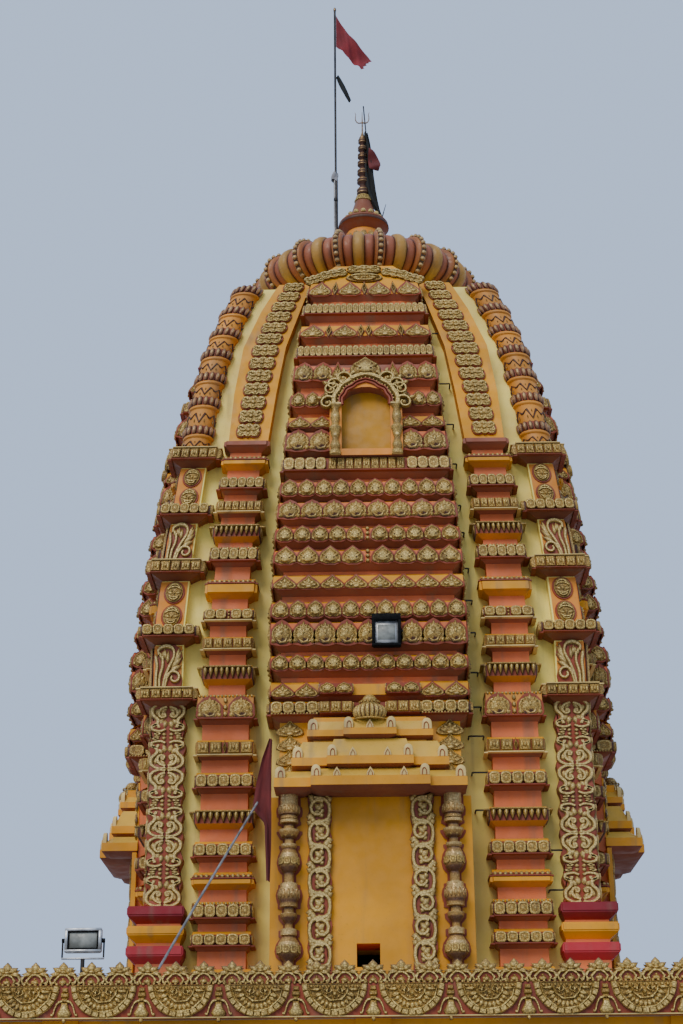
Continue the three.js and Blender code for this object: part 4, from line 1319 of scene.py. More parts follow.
def ring_of(shape, radius, count, low, tall, out):
    """A flat form repeated all round a drum."""
    step = 360 / count
    return [round_on(shape, radius, step * (i + 0.5), step, low, tall, out) for i in range(count)]


def corner_bells():
    """Seven drums with painted zigzags, each under a roll and a ring of lobes, round the tower's corner."""
    rings = [11.965, 12.435, 12.845, 13.255, 13.645, 14.055, 14.485]
    for turn, corner in enumerate(CORNERS):
        low = 11.66
        for ring in rings:
            put_round(f"bells_{corner}", bell(low, ring), turn)
            low = ring + 0.07
        top = [(0.17, low), (0.14, low + 0.03), (0, low + 0.05)]
        put_round(f"bells_{corner}", lathe(top, 18, "ochre", 0.5), turn)


def bell(low, ring):
    drum = [(0.176, low - 0.02), (0.192, low + (ring - low) * 0.3), (0.19, ring - 0.11)]
    roll = [(0.188, -0.125, 0.5), (0.212, -0.108, 0.6), (0.216, -0.09, 0.8), (0.208, -0.072, 0.6)]
    roll.append((0.17, -0.06, 0.4))
    core = [(0.186, ring - 0.07), (0.205, ring), (0.18, ring + 0.075)]
    # The lobes' lift rises from their edges to their tops, so they take painted shade round their edges and a painted
    # highlight on top
    levels = [(1, -0.4, 0), (0.92, 0.35, 0.1), (0.7, 0.8, 0.5), (0.34, 0.97, 0.9)]
    lobe = relief(arc(0, 0.5, 0.5, 0.5, 0, 330, 12), levels, (0, 0.56), (1, 1), "plum")
    tall = max(0.08, (ring - 0.13) - (low + 0.01))
    return join(
        lathe(drum, 20, "amber", 0.5),
        lathe([(r, ring + z, lift) for r, z, lift in roll], 24, "amber"),
        lathe(core, 20, "maroon", 0),
        [round_on(lobe, 0.188, -8 + i * 22.5, 20.5, ring - 0.085, 0.17, 0.052) for i in range(16)],
        [
            round_on(CARVING["zigzag"], 0.19, 10 + i * 84, 84, low + tall * 0.14, tall * 0.7, 0.014)
            for i in range(4)
        ],
    )


# Lower niches

NICHE_LEFT, NICHE_RIGHT, NICHE_BACK = -1.235, 1.235, 3.1203
# The turned pillar's profile from its head down: radius, height
NICHE_PROFILE = [
    (0.118, 6.66), (0.120, 6.60), (0.120, 6.53), (0.138, 6.52), (0.145, 6.47), (0.138, 6.41),
    (0.115, 6.40), (0.115, 6.36), (0.098, 6.355), (0.125, 6.345), (0.125, 6.31), (0.098, 6.30),
    (0.072, 6.28), (0.072, 6.235), (0.14, 6.225), (0.138, 6.20), (0.096, 6.13), (0.060, 6.115),
    (0.060, 6.055), (0.108, 6.05), (0.108, 6.02), (0.088, 5.99), (0.120, 5.93), (0.137, 5.84),
    (0.120, 5.76), (0.092, 5.72), (0.067, 5.70), (0.067, 5.585), (0.115, 5.575), (0.115, 5.53),
    (0.130, 5.515), (0.145, 5.45), (0.130, 5.37), (0.120, 5.35), (0.120, 5.295), (0.067, 5.285),
    (0.067, 5.225), (0.115, 5.215), (0.108, 5.16), (0.070, 5.115), (0.053, 5.10), (0.053, 5.045),
    (0.108, 5.03), (0.108, 4.96), (0.085, 4.945), (0.138, 4.87), (0.156, 4.79), (0.138, 4.72),
    (0.090, 4.68), (0.067, 4.66), (0.067, 4.545), (0.115, 4.535), (0.115, 4.47), (0.105, 4.46),
    (0.120, 4.42), (0.120, 4.295),
]  # fmt: skip


def turned_pillar(piece, turn, x, face):
    """A turned pillar of the lower niche in front of a plate with its outline."""
    slim = 0.9
    rings = NICHE_PROFILE[::-1]
    # Rings with a wider ring above them face down and get a low lift, so the undersides of the bulbs take painted
    # shade
    rows = [
        (r * slim, z, 0.25 if above > r + 0.004 else 0.9)
        for (r, z), (above, _) in zip(rings, [*rings[1:], rings[-1]])
    ]
    flute = dome(0, 0.5, 0.42, 1, 0, 7, 0.5, (0.1, 1), "pillar")
    leaf, hanging = petal(0, 0, 1, 0.9, 0), petal(0, 1, 1, 0.9, 180)
    collars = [
        (flute, 0.135, 14, 6.42, 0.1, 0.018), (flute, 0.135, 14, 5.385, 0.12, 0.018),
        (CARVING["block"], 0.15, 9, 4.735, 0.11, 0.014), (CARVING["block"], 0.132, 9, 5.79, 0.1, 0.014),
        (leaf, 0.112, 8, 4.30, 0.15, 0.025), (hanging, 0.106, 8, 6.13, 0.08, 0.025),
    ]  # fmt: skip
    made = [lathe(rows, 20, "pillar")]
    for shape, radius, *where in collars:
        made += ring_of(shape, radius * slim, *where)
    put(piece, join(made), turn, x, face)
    silhouette(piece, turn, x, 3.18, [(r + 0.018, z) for r, z in NICHE_PROFILE], 0.02)


def silhouette(piece, turn, x, face, side, thick):
    """A flat plate with a turned pillar's outline, as a strip of quads from its left to its right."""
    points, faces = [], []
    for half, z in side:
        points += [(-half, thick, z, 0), (half, thick, z, 0), (-half, 0, z, 0), (half, 0, z, 0)]
    for a in range(0, len(points) - 4, 4):
        b = a + 4
        faces += [(b, b + 1, a + 1, a), (a + 1, b + 1, b + 3, a + 3), (b, a, a + 2, b + 2)]
    put(piece, form(points, faces, "maroon"), turn, x, face)


def eave(piece, turn, x0, x1, face, z0, z1, z2, x0_top, x1_top, face_top):
    """One part of a canopy tier: a sloped soffit, an ochre fascia, and a hipped slope above in the canopy paint."""
    back, dip, drop, lip, gap = 3.121, 0.1, 0.04, 0.012, 0.001

    def course(lower, upper, faces, finish):
        points = [
            (x, d, z, 0)
            for a, b, front, rear, z in (lower, upper)
            for x, d in ((a, rear), (b, rear), (b, front), (a, front))
        ]
        put(piece, form(points, faces, finish), turn)

    under, sides, top = [(0, 1, 2, 3)], [(3, 2, 6, 7), (2, 1, 5, 6), (0, 3, 7, 4)], [(7, 6, 5, 4)]
    foot, head = (x0, x1, face, back, z0), (x0, x1, face, back, z1)
    # The soffit under the canopy takes the darker coral as painted shade
    course((x0 + dip, x1 - dip, face - dip, 3.15, z0 - drop), foot, under + sides, "brick")
    course(foot, head, sides + top, "ochre")
    slope = (x0 + lip, x1 - lip, face - min(x1 - x0, 0.02) * 1.6, back, z1 + gap)
    course(slope, (x0_top, x1_top, face_top, back, z2), sides + top, "canopy")


# Canopy tiers: half width, face, underside, fascia top, slope top, face at the slope's top, share of
# the projecting middle, pointed arches on it
CANOPY_TIERS = [
    (1.175, 3.60, 6.69, 6.80, 6.93, 3.46, 0.617, 3),
    (0.965, 3.51, 6.97, 7.07, 7.32, 3.38, 0.55, 2),
    (0.780, 3.43, 7.36, 7.44, 7.58, 3.37, 0.42, 1),
]


def canopy(piece, turn, drop):
    for half, face, z0, z1, z2, face_top, share, arches in CANOPY_TIERS:
        z0, z1, z2 = z0 - drop, z1 - drop, z2 - drop
        middle, out = half * share, 0.09
        for side in SIDES:
            ends = sorted((half * side, middle * side))
            tops = sorted((half * side * 0.86, middle * side * 0.8))
            eave(piece, turn, *ends, face, z0, z1, z2 - 0.02, *tops, face_top)
            at = moved(CARVING["ear"], sx=-side)
            put(piece, at, turn, side * (half - 0.075), face - 0.06, z1, 0.13, 0.15, 0.05)
            put(piece, at, turn, side * (middle - 0.065), face + out - 0.06, z1, 0.12, 0.15, 0.05)
        tops = (-middle * 0.84, middle * 0.84)
        eave(piece, turn, -middle, middle, face + out, z0, z1, z2, *tops, face_top + out * 0.6)
        for i in range(arches):
            x = (i - (arches - 1) / 2) * middle * 2 / (arches + 0.35) * 0.94
            put(piece, "gable", turn, x, face + out - 0.055, z1, 0.10, 0.12, 0.045)


def niche_carvings():
    side_drop = 0.27
    for turn, side in enumerate(FACES):
        piece, front = f"niche_carving_{side}", side == "front"
        drop = 0.0 if front else side_drop
        niche_back(piece, turn, front, 6.655 - drop)
        row(piece, turn, 3.98, 4.2, -1.2, 1.2, 3.37, times("crest", 9), 0.05, lean=False)
        row(piece, turn, 3.74, 3.94, -1.2, 1.2, 3.37, times("block", 14), 0.03, lean=False)
        for sign in SIDES:
            if front:
                turned_pillar(piece, turn, sign * 1.0, 3.29)
            vine_strip(piece, turn, sign, 2.35 - drop)
            for i in range(4):
                put(piece, "heart", turn, sign * 1.0, 3.14, 6.86 - drop + i * 0.19, 0.36, 0.225, 0.07)
        canopy(piece, turn, drop)
        plank(piece, turn, 0, (-1.13, 1.13, NICHE_BACK, 3.14, 6.70 - drop, 7.62 - drop), "ochre")
        plank(piece, turn, 0, (-0.7, 0.7, NICHE_BACK, 3.34, 7.30 - drop, 7.62 - drop), "ochre")
        canopy_disc(piece, turn, drop)
        projecting_rows(piece, turn)


def niche_back(piece, turn, front, top):
    """The plate behind a niche, with the vent through the front one, and the sill and moulding below."""
    x0, x1, low = NICHE_LEFT, NICHE_RIGHT, 4.295
    a, b, c, d = -0.19, 0.09, 4.60, 4.876
    if front:
        for box in ((x0, a, low, top), (b, x1, low, top), (a, b, low, c), (a, b, d, top)):
            plank(piece, turn, 0, (*box[:2], NICHE_BACK, 3.18, *box[2:]), "ochre")
    else:
        plank(piece, turn, 0, (x0, x1, NICHE_BACK, 3.18, low, top), "ochre")
    plank(piece, turn, 0, (x0, x1, NICHE_BACK, 3.37, 3.6503, 4.26), "ochre")
    plank(piece, turn, 0, (x0, x1, NICHE_BACK, 3.39, 4.22, 4.30), "maroon", 0.012)


def vine_strip(piece, turn, sign, tall):
    """A strip of vine beside the niche, each turn of it the mirror image of the last."""
    x, turns = sign * 0.63, 8
    put(piece, moved(CARVING["lattice_plate"], sx=0.305, sz=tall), turn, x, 3.18, 4.30, 1, 1, 0.055)
    unit = (tall - 0.03) / turns
    for i in range(turns):
        leaf = moved(CARVING["vine"], sx=sign * (1 if i % 2 else -1))
        put(piece, leaf, turn, x, 3.232, 4.33 + i * unit, 0.265, unit, 0.045)


def canopy_disc(piece, turn, drop):
    """The small ribbed disc on the canopy, under a beaded dome."""
    levels = [(0.60, 0.0), (0.86, 0.1), (1.0, 0.3), (1.04, 0.5), (1.0, 0.7), (0.88, 0.88), (0.66, 1.0)]
    put(piece, moved(lobed(levels, 20, 0.12), sx=0.205, sd=0.16, sz=0.19), turn, 0, 3.40, 7.565 - drop)
    rim = lathe([(0.19, 0, 0.4), (0.215, 0.012, 1), (0.19, 0.03, 0.4)], 24)
    put(piece, moved(rim, sd=0.75), turn, 0, 3.40, 7.55 - drop)
    top = [(0.115, 7.745, 0.6), (0.125, 7.765, 0.9), (0.09, 7.80, 0.5), (0.095, 7.83, 0.9)]
    top += [(0.07, 7.87, 0.7), (0.05, 7.885, 0.9), (0, 7.90, 1)]
    pearl = dome(0, 0.5, 0.42, 1, 0, 6, 0.5)
    put(piece, join(lathe(top, 18), ring_of(pearl, 0.118, 14, 7.775, 0.035, 0.02)), turn, 0, 3.38, -drop)


def projecting_rows(piece, turn):
    """The two middle parts of the lowest centre bands, which stand further out beside the small disc."""
    for side in SIDES:
        left, right = sorted((0.21 * side, 0.63 * side))
        for low, high, name, count in ((7.68, 7.83, "square", 3), (7.93, 8.07, "shell", 2)):
            plank(piece, turn, 0, (left, right, 3.265, 3.35, low - 0.015, high), "maroon", 0.01)
            row(piece, turn, low, high, left, right, 3.35, times(name, count), 0.06, lean=False)
            for at, u, face in ((turn + 1, (-3.345, -3.275), right), (turn + 3, (3.275, 3.345), -left)):
                row(piece, at, low, high, *u, face - 0.01, times("block", 1), 0.03, lean=False)


# Upper niches and the crown pieces over them


def grown(path, shift):
    """The path moved outwards, to the left of its direction, by so much."""
    along = np.gradient(path, axis=0)
    along /= np.linalg.norm(along, axis=1)[:, None]
    return path + np.column_stack([along[:, 1], -along[:, 0]]) * shift


UPPER_PROFILE = [
    (0.058, 11.30), (0.058, 11.36), (0.04, 11.38), (0.05, 11.42), (0.052, 11.46), (0.036, 11.52),
    (0.03, 11.56), (0.045, 11.62), (0.05, 11.68), (0.062, 11.70), (0.062, 11.735), (0.045, 11.75),
    (0.036, 11.80), (0.05, 11.88), (0.044, 11.95), (0.034, 12.02), (0.05, 12.06), (0.06, 12.08),
]  # fmt: skip


def upper_niches():
    rows = [(r * 1.3, z, 0.4 if r < 0.042 else 0.85) for r, z in UPPER_PROFILE]
    pillar = lathe(rows, 14)
    arch = [(0.32, 12.10), (0.325, 12.2), (0.28, 12.27), (0.25, 12.34), (0.17, 12.385), (0.11, 12.44), (0, 12.48)]
    edge = mirrored(bend(arch, 16))
    face = 3.37
    for turn, side in enumerate(FACES):
        piece = f"upper_niche_{side}"
        for sign in SIDES:
            x = sign * 0.415
            put(piece, moved(pillar, x=x), turn, 0, face + 0.015)
            plank(piece, turn, face, (x - 0.085, x + 0.085, -0.02, 0.06, 12.085, 12.12), "cream", 0.008)
            plank(piece, turn, face, (x - 0.07, x + 0.07, -0.02, 0.05, 11.30, 11.34), "cream", 0.01)
            studs = [dome(x, z, 0.028, 0.02, 0.045, 7, 0.03, finish="cream") for z in (11.44, 11.60, 11.9)]
            put(piece, join(studs), turn, 0, face + 0.015)
        arches = [
            ridge(edge, 0.05, -0.02, 0.05, finish="maroon"),
            ridge(grown(edge, 0.035), 0.03, 0, 0.05, finish="maroon"),
            ridge(grown(edge, 0.11), 0.10, 0, 0.07),
            *[dome(x, z, 0.018, 0.03, 0.025, 6) for x, z in grown(edge, 0.05)],
        ]
        outer = grown(edge, 0.155)
        for i, share in enumerate((0.04, 0.15, 0.26, 0.37)):
            x, z = outer[int(share * (len(outer) - 1))]
            leaf = moved(CARVING["curl"], sx=0.27, sz=0.26, sd=0.10, turn=math.radians(-62 + 18 * i))
            arches.append(pair(moved(leaf, x=abs(x) + 0.035, z=z)))
        put(piece, join(arches), turn, 0, face)
        put(piece, "crest", turn, 0, face, 12.565, 0.44, 0.29, 0.11)


def crown_pieces():
    face = 3.22
    for turn, side in enumerate(FACES):
        piece = f"crown_carving_{side}"
        put(piece, "oval", turn, 0, face, 14.43, 0.58, 0.20, 0.085)
        put(piece, "bow", turn, 0, face, 14.625, 0.50, 0.19, 0.085)
        for sign in SIDES:
            for x, z, wide, tilt in ((0.42, 14.53, 0.42, 17), (0.68, 14.41, 0.30, 24)):
                shape = moved(CARVING["bow"], sx=wide, sz=0.20, sd=0.08, turn=-sign * math.radians(tilt))
                put(piece, moved(shape, x=x * sign), turn, 0, face, z)


# Crown and finial


def on_disc(at, up, out, rise=None):
    """A place on the ribbed disc, with d towards the back: degrees round it and up its edge, then metres
    out of it."""
    centre, middle, deep, tall = 1.25, 15.375, 0.42, 0.315
    angle, s = math.radians(at - 90), math.radians(up)
    r = centre + (deep + out) * math.cos(s)
    z = middle + (tall + (out * 0.7 if rise is None else rise)) * math.sin(s)
    return r * math.cos(angle), -r * math.sin(angle), z


def ribbed_disc():
    """Sixty-four rolled ribs in groups of four: one beaded, then coral, yellow and coral."""
    groups, steps, rounds = 16, 8, 15
    turn = 360 / groups
    coral = ("coral_rib", 0.22, 0.025, 0.9)
    kinds = [("orange_rib", 0.27, 0.10, 0.6), coral, ("yellow_rib", 0.29, 0.075, 0.8), coral]
    for group in range(groups):
        at = group * turn + 8.6 - turn * 0.14
        for kind, share, swell, power in kinds:
            wide, points = turn * share, []
            for i in range(steps + 1):
                t = 2 * i / steps - 1
                rise = max(0.0, 1 - t * t) ** (power / 2)
                for j in range(rounds + 1):
                    place = on_disc(at + wide * (i / steps), -105 + 210 * j / rounds, swell * rise - 0.02)
                    points.append((*place, rise))
            on_axis("disc_ribs", form(points, quads(steps + 1, rounds + 1, (0, 3, 2, 1), False), kind))
            if kind == "orange_rib":
                disc_beads(at + wide / 2)
            at += wide
    top = [(1.3, 15.70), (0.9, 15.69), (0.37, 15.705), (0.2, 15.705)]
    on_axis("disc_ribs", lathe(top, 48, "board", 0.5), lathe([(0.9, 15.045), (1.3, 15.055)], 48, "board", 0.5))


def disc_beads(at):
    """A row of beads on a narrow dark strip down the middle of a rib."""
    rounds, half = 15, 1.35
    points = [
        (*on_disc(at + side * half, -80 + 160 * j / rounds, 0.084, 0.06), 0.5)
        for side in SIDES
        for j in range(rounds + 1)
    ]
    on_axis("disc_ribs", form(points, quads(2, rounds + 1, (0, 3, 2, 1), False), "umber"))
    for j in range(11):
        x, d, z = on_disc(at, -66 + 136 * j / 10, 0.085, 0.062)
        on_axis("disc_beads", moved(ball(0.038, 8, 5, "plum"), x=x, d=d, z=z))


def bell_cap():
    """The umbrella-shaped cap: a pot with carved leaves under a wide rim, a bead ring and a ringed cone."""
    piece = "cap_body"
    pot = [(0.34, 15.7103), (0.35, 15.78), (0.335, 15.90), (0.27, 16.02), (0.24, 16.12), (0.25, 16.25)]
    pot += [(0.28, 16.38), (0.29, 16.47), (0.27, 16.50)]
    under = [(0.27, 16.50), (0.31, 16.53), (0.35, 16.57), (0.385, 16.60), (0.40, 16.605)]
    rim = [(0.40, 16.605), (0.408, 16.615), (0.406, 16.635), (0.398, 16.655), (0.385, 16.66)]
    lip = [(0.383, 16.658), (0.392, 16.665), (0.394, 16.68), (0.38, 16.70), (0.34, 16.72), (0.27, 16.76)]
    cone = [(0.27, 16.76), (0.235, 16.82), (0.21, 16.85), (0.18, 16.93), (0.15, 17.03), (0.13, 17.10)]
    on_axis(piece, lathe(pot, 36, "board", 0.5), lathe(under, 40, "rust", 0.5), lathe(rim, 40, "umber", 0.5))
    on_axis(piece, lathe(lip, 40, "rust", 0.8), lathe(cone, 36, "rust", 0.5))
    for r, z in ((0.14, 17.12), (0.125, 17.155), (0.11, 17.195)):
        ring = [(r - 0.02, z - 0.018, 0.3), (r, z - 0.012, 0.9), (r + 0.006, z, 1), (r, z + 0.012, 0.9)]
        on_axis(piece, lathe([*ring, (r - 0.03, z + 0.018, 0.3)], 28))
    count, radius = 14, 0.262
    for i in range(count):
        a = 2 * math.pi * (i + 0.5) / count
        on_axis(piece, moved(ball(0.042), x=radius * math.cos(a), d=radius * math.sin(a), z=16.80))
    on_axis(piece, ring_of(CARVING["shell"], 0.275, count, 16.29, 0.17, 0.03))
    on_axis(piece, ring_of(petal(0, 0, 1, 0.9, 0), 0.34, 16, 15.75, 0.16, 0.03))


def spire():
    """Seven stacked discs with brass rims, a cone, the trident and two leaning iron rods."""
    piece = "spire_metal"
    heights = [17.302, 17.502, 17.667, 17.833, 17.976, 18.119, 18.263, 18.403]
    radii = [0.098, 0.093, 0.088, 0.083, 0.078, 0.073, 0.068]
    low = 17.2203
    for z, above, r in zip(heights, heights[1:], radii):
        tall = above - z
        steps = ((0.6, -0.40), (0.9, -0.28), (1, -0.1), (1, 0.1), (0.8, 0.3), (0.55, 0.5))
        body = [(r * 0.55, low), *((r * share, z + tall * up) for share, up in steps)]
        on_axis(piece, lathe(body, 20, "umber", 0))
        for level in (z - tall * 0.16, z + tall * 0.12):
            ring = [(r * 0.85, level - 0.014, 0.3), (r * 1.04, level - 0.008, 1), (r * 1.04, level + 0.008, 1)]
            on_axis(piece, lathe([*ring, (r * 0.85, level + 0.014, 0.3)], 20, "brass"))
        low = z + tall * 0.48
    cone = [(0.05, 18.30), (0.055, 18.325), (0.03, 18.37), (0.02, 18.41), (0.012, 18.44)]
    on_axis(piece, lathe(cone, 16, "brass", 0.8))
    tube(piece, [(0, 0, 18.42), (0, 0, 18.64), (0, 0, 18.83)], (0.013, 0.011, 0.004), "brass")
    prong = [(0, 18.63), (0.035, 18.62), (0.075, 18.625), (0.105, 18.665), (0.112, 18.73), (0.104, 18.78)]
    for sign in SIDES:
        path = bend([(x * sign, z) for x, z in [*prong, (0.118, 18.825)]], 14)
        tube(piece, [(x, 0, z) for x, z in path], np.linspace(0.013, 0.004, 14), "brass")
    rod = [(0.10, 0.02, 17.55), (0.085, 0.02, 18.0), (0.055, 0.02, 18.5), (0.022, 0.02, 18.96)]
    tube(piece, rod, 0.011, "iron")
    tube(piece, [(0.262, -0.03, 16.72), (0.30, -0.03, 16.80), (0.365, -0.03, 17.05)], (0.012, 0.011, 0.004), "iron")


# Poles, lamps and irons


def capped(piece, points, n, middles, finish):
    """Adds rings of n points each, closed at both ends by a middle point."""
    rows, total, lift = len(points) // n, len(points), 0.6
    last = (rows - 1) * n
    ends = [((j + 1) % n, j, total) for j in range(n)]
    ends += [(last + j, last + (j + 1) % n, total + 1) for j in range(n)]
    add(piece, form([(*p, lift) for p in (*points, *middles)], quads(rows, n) + ends, finish))


def tube(piece, path, radius, finish, n=8):
    """A round bar along a path of world points (x, y, z), closed at both ends."""
    path = np.array(path, float)
    radius = np.broadcast_to(np.array(radius, float), (len(path),))
    along = np.gradient(path, axis=0)
    along /= np.linalg.norm(along, axis=1)[:, None]
    side = np.cross(along[0], (0.31, 0.87, 0.38))
    points = []
    for p, a, r in zip(path, along, radius):
        side = side - a * np.dot(side, a)
        side /= np.linalg.norm(side)
        other = np.cross(a, side)
        for i in range(n):
            t = 2 * math.pi * i / n
            points.append(p + (side * math.cos(t) + other * math.sin(t)) * r)
    capped(piece, points, n, (path[0], path[-1]), finish)


def upright(piece, x, y, low, high, radius, finish, n=12):
    tube(piece, [(x, y, low), (x, y, high)], radius, finish, n)


def boxy(piece, x0, x1, y0, y1, z0, z1, finish, e=0.012):
    """A box with edges bevelled by e, in world coordinates, its front towards -y."""
    points = [
        (x, y, z)
        for z, i in ((z0, e), (z0 + e, 0), (z1 - e, 0), (z1, e))
        for x, y in (
            (x0 + i + e, y0 + i), (x1 - i - e, y0 + i), (x1 - i, y0 + i + e), (x1 - i, y1 - i - e),
            (x1 - i - e, y1 - i), (x0 + i + e, y1 - i), (x0 + i, y1 - i - e), (x0 + i, y0 + i + e),
        )
    ]  # fmt: skip
    middle = (x0 + x1) / 2, (y0 + y1) / 2
    capped(piece, points, 8, ((*middle, z0), (*middle, z1)), finish)


def flag_pole_details():
    piece, x = "pole_fittings", -0.44
    upright(piece, x, 0, 15.7123, 15.76, 0.08, "steel", 20)
    upright(piece, x - 0.018, 0, 15.76, 17.56, 0.016, "steel")
    upright(piece, x + 0.012, 0, 15.76, 17.60, 0.022, "iron")
    upright(piece, x, 0, 17.14, 17.18, 0.036, "iron", 16)
    upright(piece, x, 0, 17.59, 20.9, 0.0185, "iron")
    tube(piece, [(x, 0, 20.87), (x, 0, 20.91), (x, 0, 20.938)], (0.024, 0.024, 0.006), "brass", 12)


def tower_lamp():
    """The flood lamp on the front: housing, bezel, reflector, glass, fins behind and two arms."""
    piece = "tower_lamp_body"
    y = -CENTRE_FACE * float(taper(8.7)) - 0.0006
    boxes = [
        (0.04, 0.41, -0.085, -0.02, 8.53, 8.96, "housing", 0.014),
        (0.04, 0.41, -0.135, -0.07, 8.53, 8.57, "housing", 0.008),
        (0.04, 0.41, -0.135, -0.07, 8.87, 8.96, "housing", 0.008),
        (0.04, 0.078, -0.135, -0.07, 8.56, 8.88, "housing", 0.008),
        (0.372, 0.41, -0.135, -0.07, 8.56, 8.88, "housing", 0.008),
        (0.078, 0.372, -0.095, -0.08, 8.57, 8.87, "silver", 0.004),
        (0.115, 0.335, -0.099, -0.09, 8.62, 8.82, "glass", 0.003),
    ]
    fins = [0.075 + i * 0.0375 for i in range(9)]
    boxes += [(x, x + 0.008, -0.03, -0.0004, 8.56, 8.93, "housing", 0.002) for x in fins]
    for x0, x1, y0, y1, *rest in boxes:
        boxy(piece, x0, x1, y + y0, y + y1, *rest)
    for sign in SIDES:
        x = 0.225 + sign * 0.19
        arm = [(x, y - 0.05, 8.75), (x + sign * 0.02, y - 0.045, 8.75), (x + sign * 0.022, y - 0.01, 8.75)]
        tube(piece, arm, 0.008, "iron")


def roof_lamp():
    """The flood lamp on its stand on the roof."""
    piece = "roof_lamp_body"
    x, y, low, high, half = -2.75, -7.70, 4.135, 4.365, 0.175

    def box(x0, x1, y0, y1, z0, z1, finish, e=0.003):
        boxy(piece, x + x0, x + x1, y + y0, y + y1, z0, z1, finish, e)

    def bezel(inset, bar, ends, y0, y1, finish, e):
        """Four bars round the lamp's front, the upright ones shorter at their ends."""
        side = half - inset
        box(-side, side, y0, y1, low + inset, low + inset + bar, finish, e)
        box(-side, side, y0, y1, high - inset - bar, high - inset, finish, e)
        box(-side, bar - side, y0, y1, low + ends, high - ends, finish, e)
        box(side - bar, side, y0, y1, low + ends, high - ends, finish, e)

    box(-half, half, -0.02, 0.045, low, high, "silver", 0.012)
    bezel(0, 0.03, 0.02, -0.045, -0.01, "silver", 0.006)
    bezel(0.025, 0.017, 0.03, -0.041, -0.015, "housing", 0.003)
    box(0.04 - half, half - 0.04, -0.028, -0.018, low + 0.04, high - 0.04, "glass")
    for i in range(7):
        fin = i * 0.045 - 0.14
        box(fin, fin + 0.008, 0.04, 0.075, low + 0.02, high - 0.02, "housing", 0.002)
    middle, foot = (low + high) / 2, low - 0.05
    for side in SIDES:
        at = x + side * half
        tube(piece, [(at, y, middle), (at + side * 0.03, y, middle)], 0.022, "housing", 12)
        upright(piece, at + side * 0.022, y, middle, foot, 0.009, "iron", 8)
    box(-half - 0.028, half + 0.028, -0.02, 0.02, low - 0.06, low - 0.045, "silver")
    upright(piece, x, y, 3.6515, foot, 0.02, "iron")
    box(-0.09, 0.09, -0.06, 0.06, 3.6503, 3.664, "iron")


def step_irons():
    """Staples up both of the right-hand wall strips of the front, as climbing steps."""
    for z in (6.56, 7.04, 7.51, 7.89, 8.35, 8.89, 9.34, 9.80, 10.33, 10.74, 11.38, 12.01, 12.68, 13.57):
        staple(graph(z, [6.5, 8.2, 11.0, 13.6], [1.41, 1.31, 1.23, 1.31]), z)
    for z in (5.56, 6.05):
        staple(2.28, z)


def staple(u, z):
    k = float(taper(z))
    x, y, half, out, round_off = u * k, -WALL * k, 0.095, 0.15, 0.012
    path = [(x - half, y + 0.02, z), (x - half, y - out, z), (x - half + round_off, y - out - 0.01, z)]
    path += [(x + half - round_off, y - out - 0.01, z), (x + half, y - out, z), (x + half, y + 0.02, z)]
    tube("step_irons", path, 0.011, "iron", 6)


# Parapets, columns and doorway


def parapet_run(side, turn, face, low, high, count):
    """A parapet on the hall's edge: carved outside, plain inside, and topped by a row of buds."""
    piece = f"parapet_carving_{side}"

    def carve(name, u, z, *size, back=False):
        at = (turn + 2, -u, 0.10 - face) if back else (turn, u, face)
        put(piece, name, *at, z, *size, lean=False)

    plank(piece, turn, face, (low, high, -0.13, 0.0, 3.49, 3.79), "maroon", lean=False)
    plank(piece, turn, face, (low, high, -0.10, -0.03, 3.79, 3.875), "maroon", 0.003, False)
    shelf = [(low, -0.13, 3.79, 0), (low, 0, 3.79, 0), (high, 0, 3.79, 0), (high, -0.13, 3.79, 0)]
    put(piece, form(shelf, [(0, 1, 2, 3)], "maroon"), turn, 0, face, lean=False)
    pitch = (high - low) / count
    for i in range(count):
        u = low + pitch * (i + 0.5)
        carve("medallion", u, 3.482, 0.625, 0.61, 0.055)
        if i < count - 1:
            carve("pendant", u + pitch / 2, 3.465, 0.17, 0.3, 0.05)
    pearls = beads(low, high, 0, 0.017, round((high - low) / 0.05), 0, 0.02, 5)
    put(piece, pearls, turn, 0, face, 3.795, lean=False)
    buds = round((high - low) / 0.262)
    step = (high - low) / buds
    for i in range(buds):
        u = low + step * (i + 0.5)
        put(piece, "bud", turn, u, face - 0.03, 3.79, 0.265, 0.215, 0.045, lean=False)
        carve("inner_bud", u, 3.79, 0.27, 0.205, 0.03, back=True)
    plank(piece, turn, face, (low, high, -0.005, 0.02, 3.485, 3.50), "cream", 0.003, False)


def parapets():
    parapet_run("front", 0, 8.06, -6.39, 6.39, 18)
    parapet_run("back", 2, 6.14, -6.39, 6.39, 18)
    parapet_run("right", 1, 6.39, -7.9297, 6.0097, 20)
    parapet_run("left", 3, 6.39, -6.0097, 7.9297, 20)


def columns():
    """Each column's row on the hall's four sides, with its x and y."""
    front, back, corner, pitch = -7.745, 5.825, 5.8, 2.714
    for name, y in (("front", front), ("back", back)):
        yield from ((name, x, y) for x in (-corner, -2.9, 0.0, 2.9, corner))
    for name, x in (("left", -corner), ("right", corner)):
        yield from ((name, x, front + pitch * i) for i in range(1, 5))


def column_dressing():
    """Leaf capitals and moulded foot bands round every column of the hall."""
    half = 0.165
    rows = [
        (2.86, 3.12, 0.15, "heart", 1, 0.03),
        (2.72, 2.82, half, "block", 3, 0.025),
        (0.62, 0.74, half, "square", 2, 0.02),
    ]
    for name, x, y in columns():
        piece = f"column_carving_{name}"
        for turn in range(4):
            px, py = x, y
            for _ in range((4 - turn) % 4):
                px, py = -py, px
            face = half - py
            for low, high, wide, kind, count, out in rows:
                row(piece, turn, low, high, px - wide, px + wide, face, times(kind, count), out, lean=False)
            for low, high in ((3.15, 3.2), (0.5, 0.56)):
                plank(piece, turn, face, (px - 0.18, px + 0.18, -0.01, 0.018, low, high), "maroon", 0.006, False)


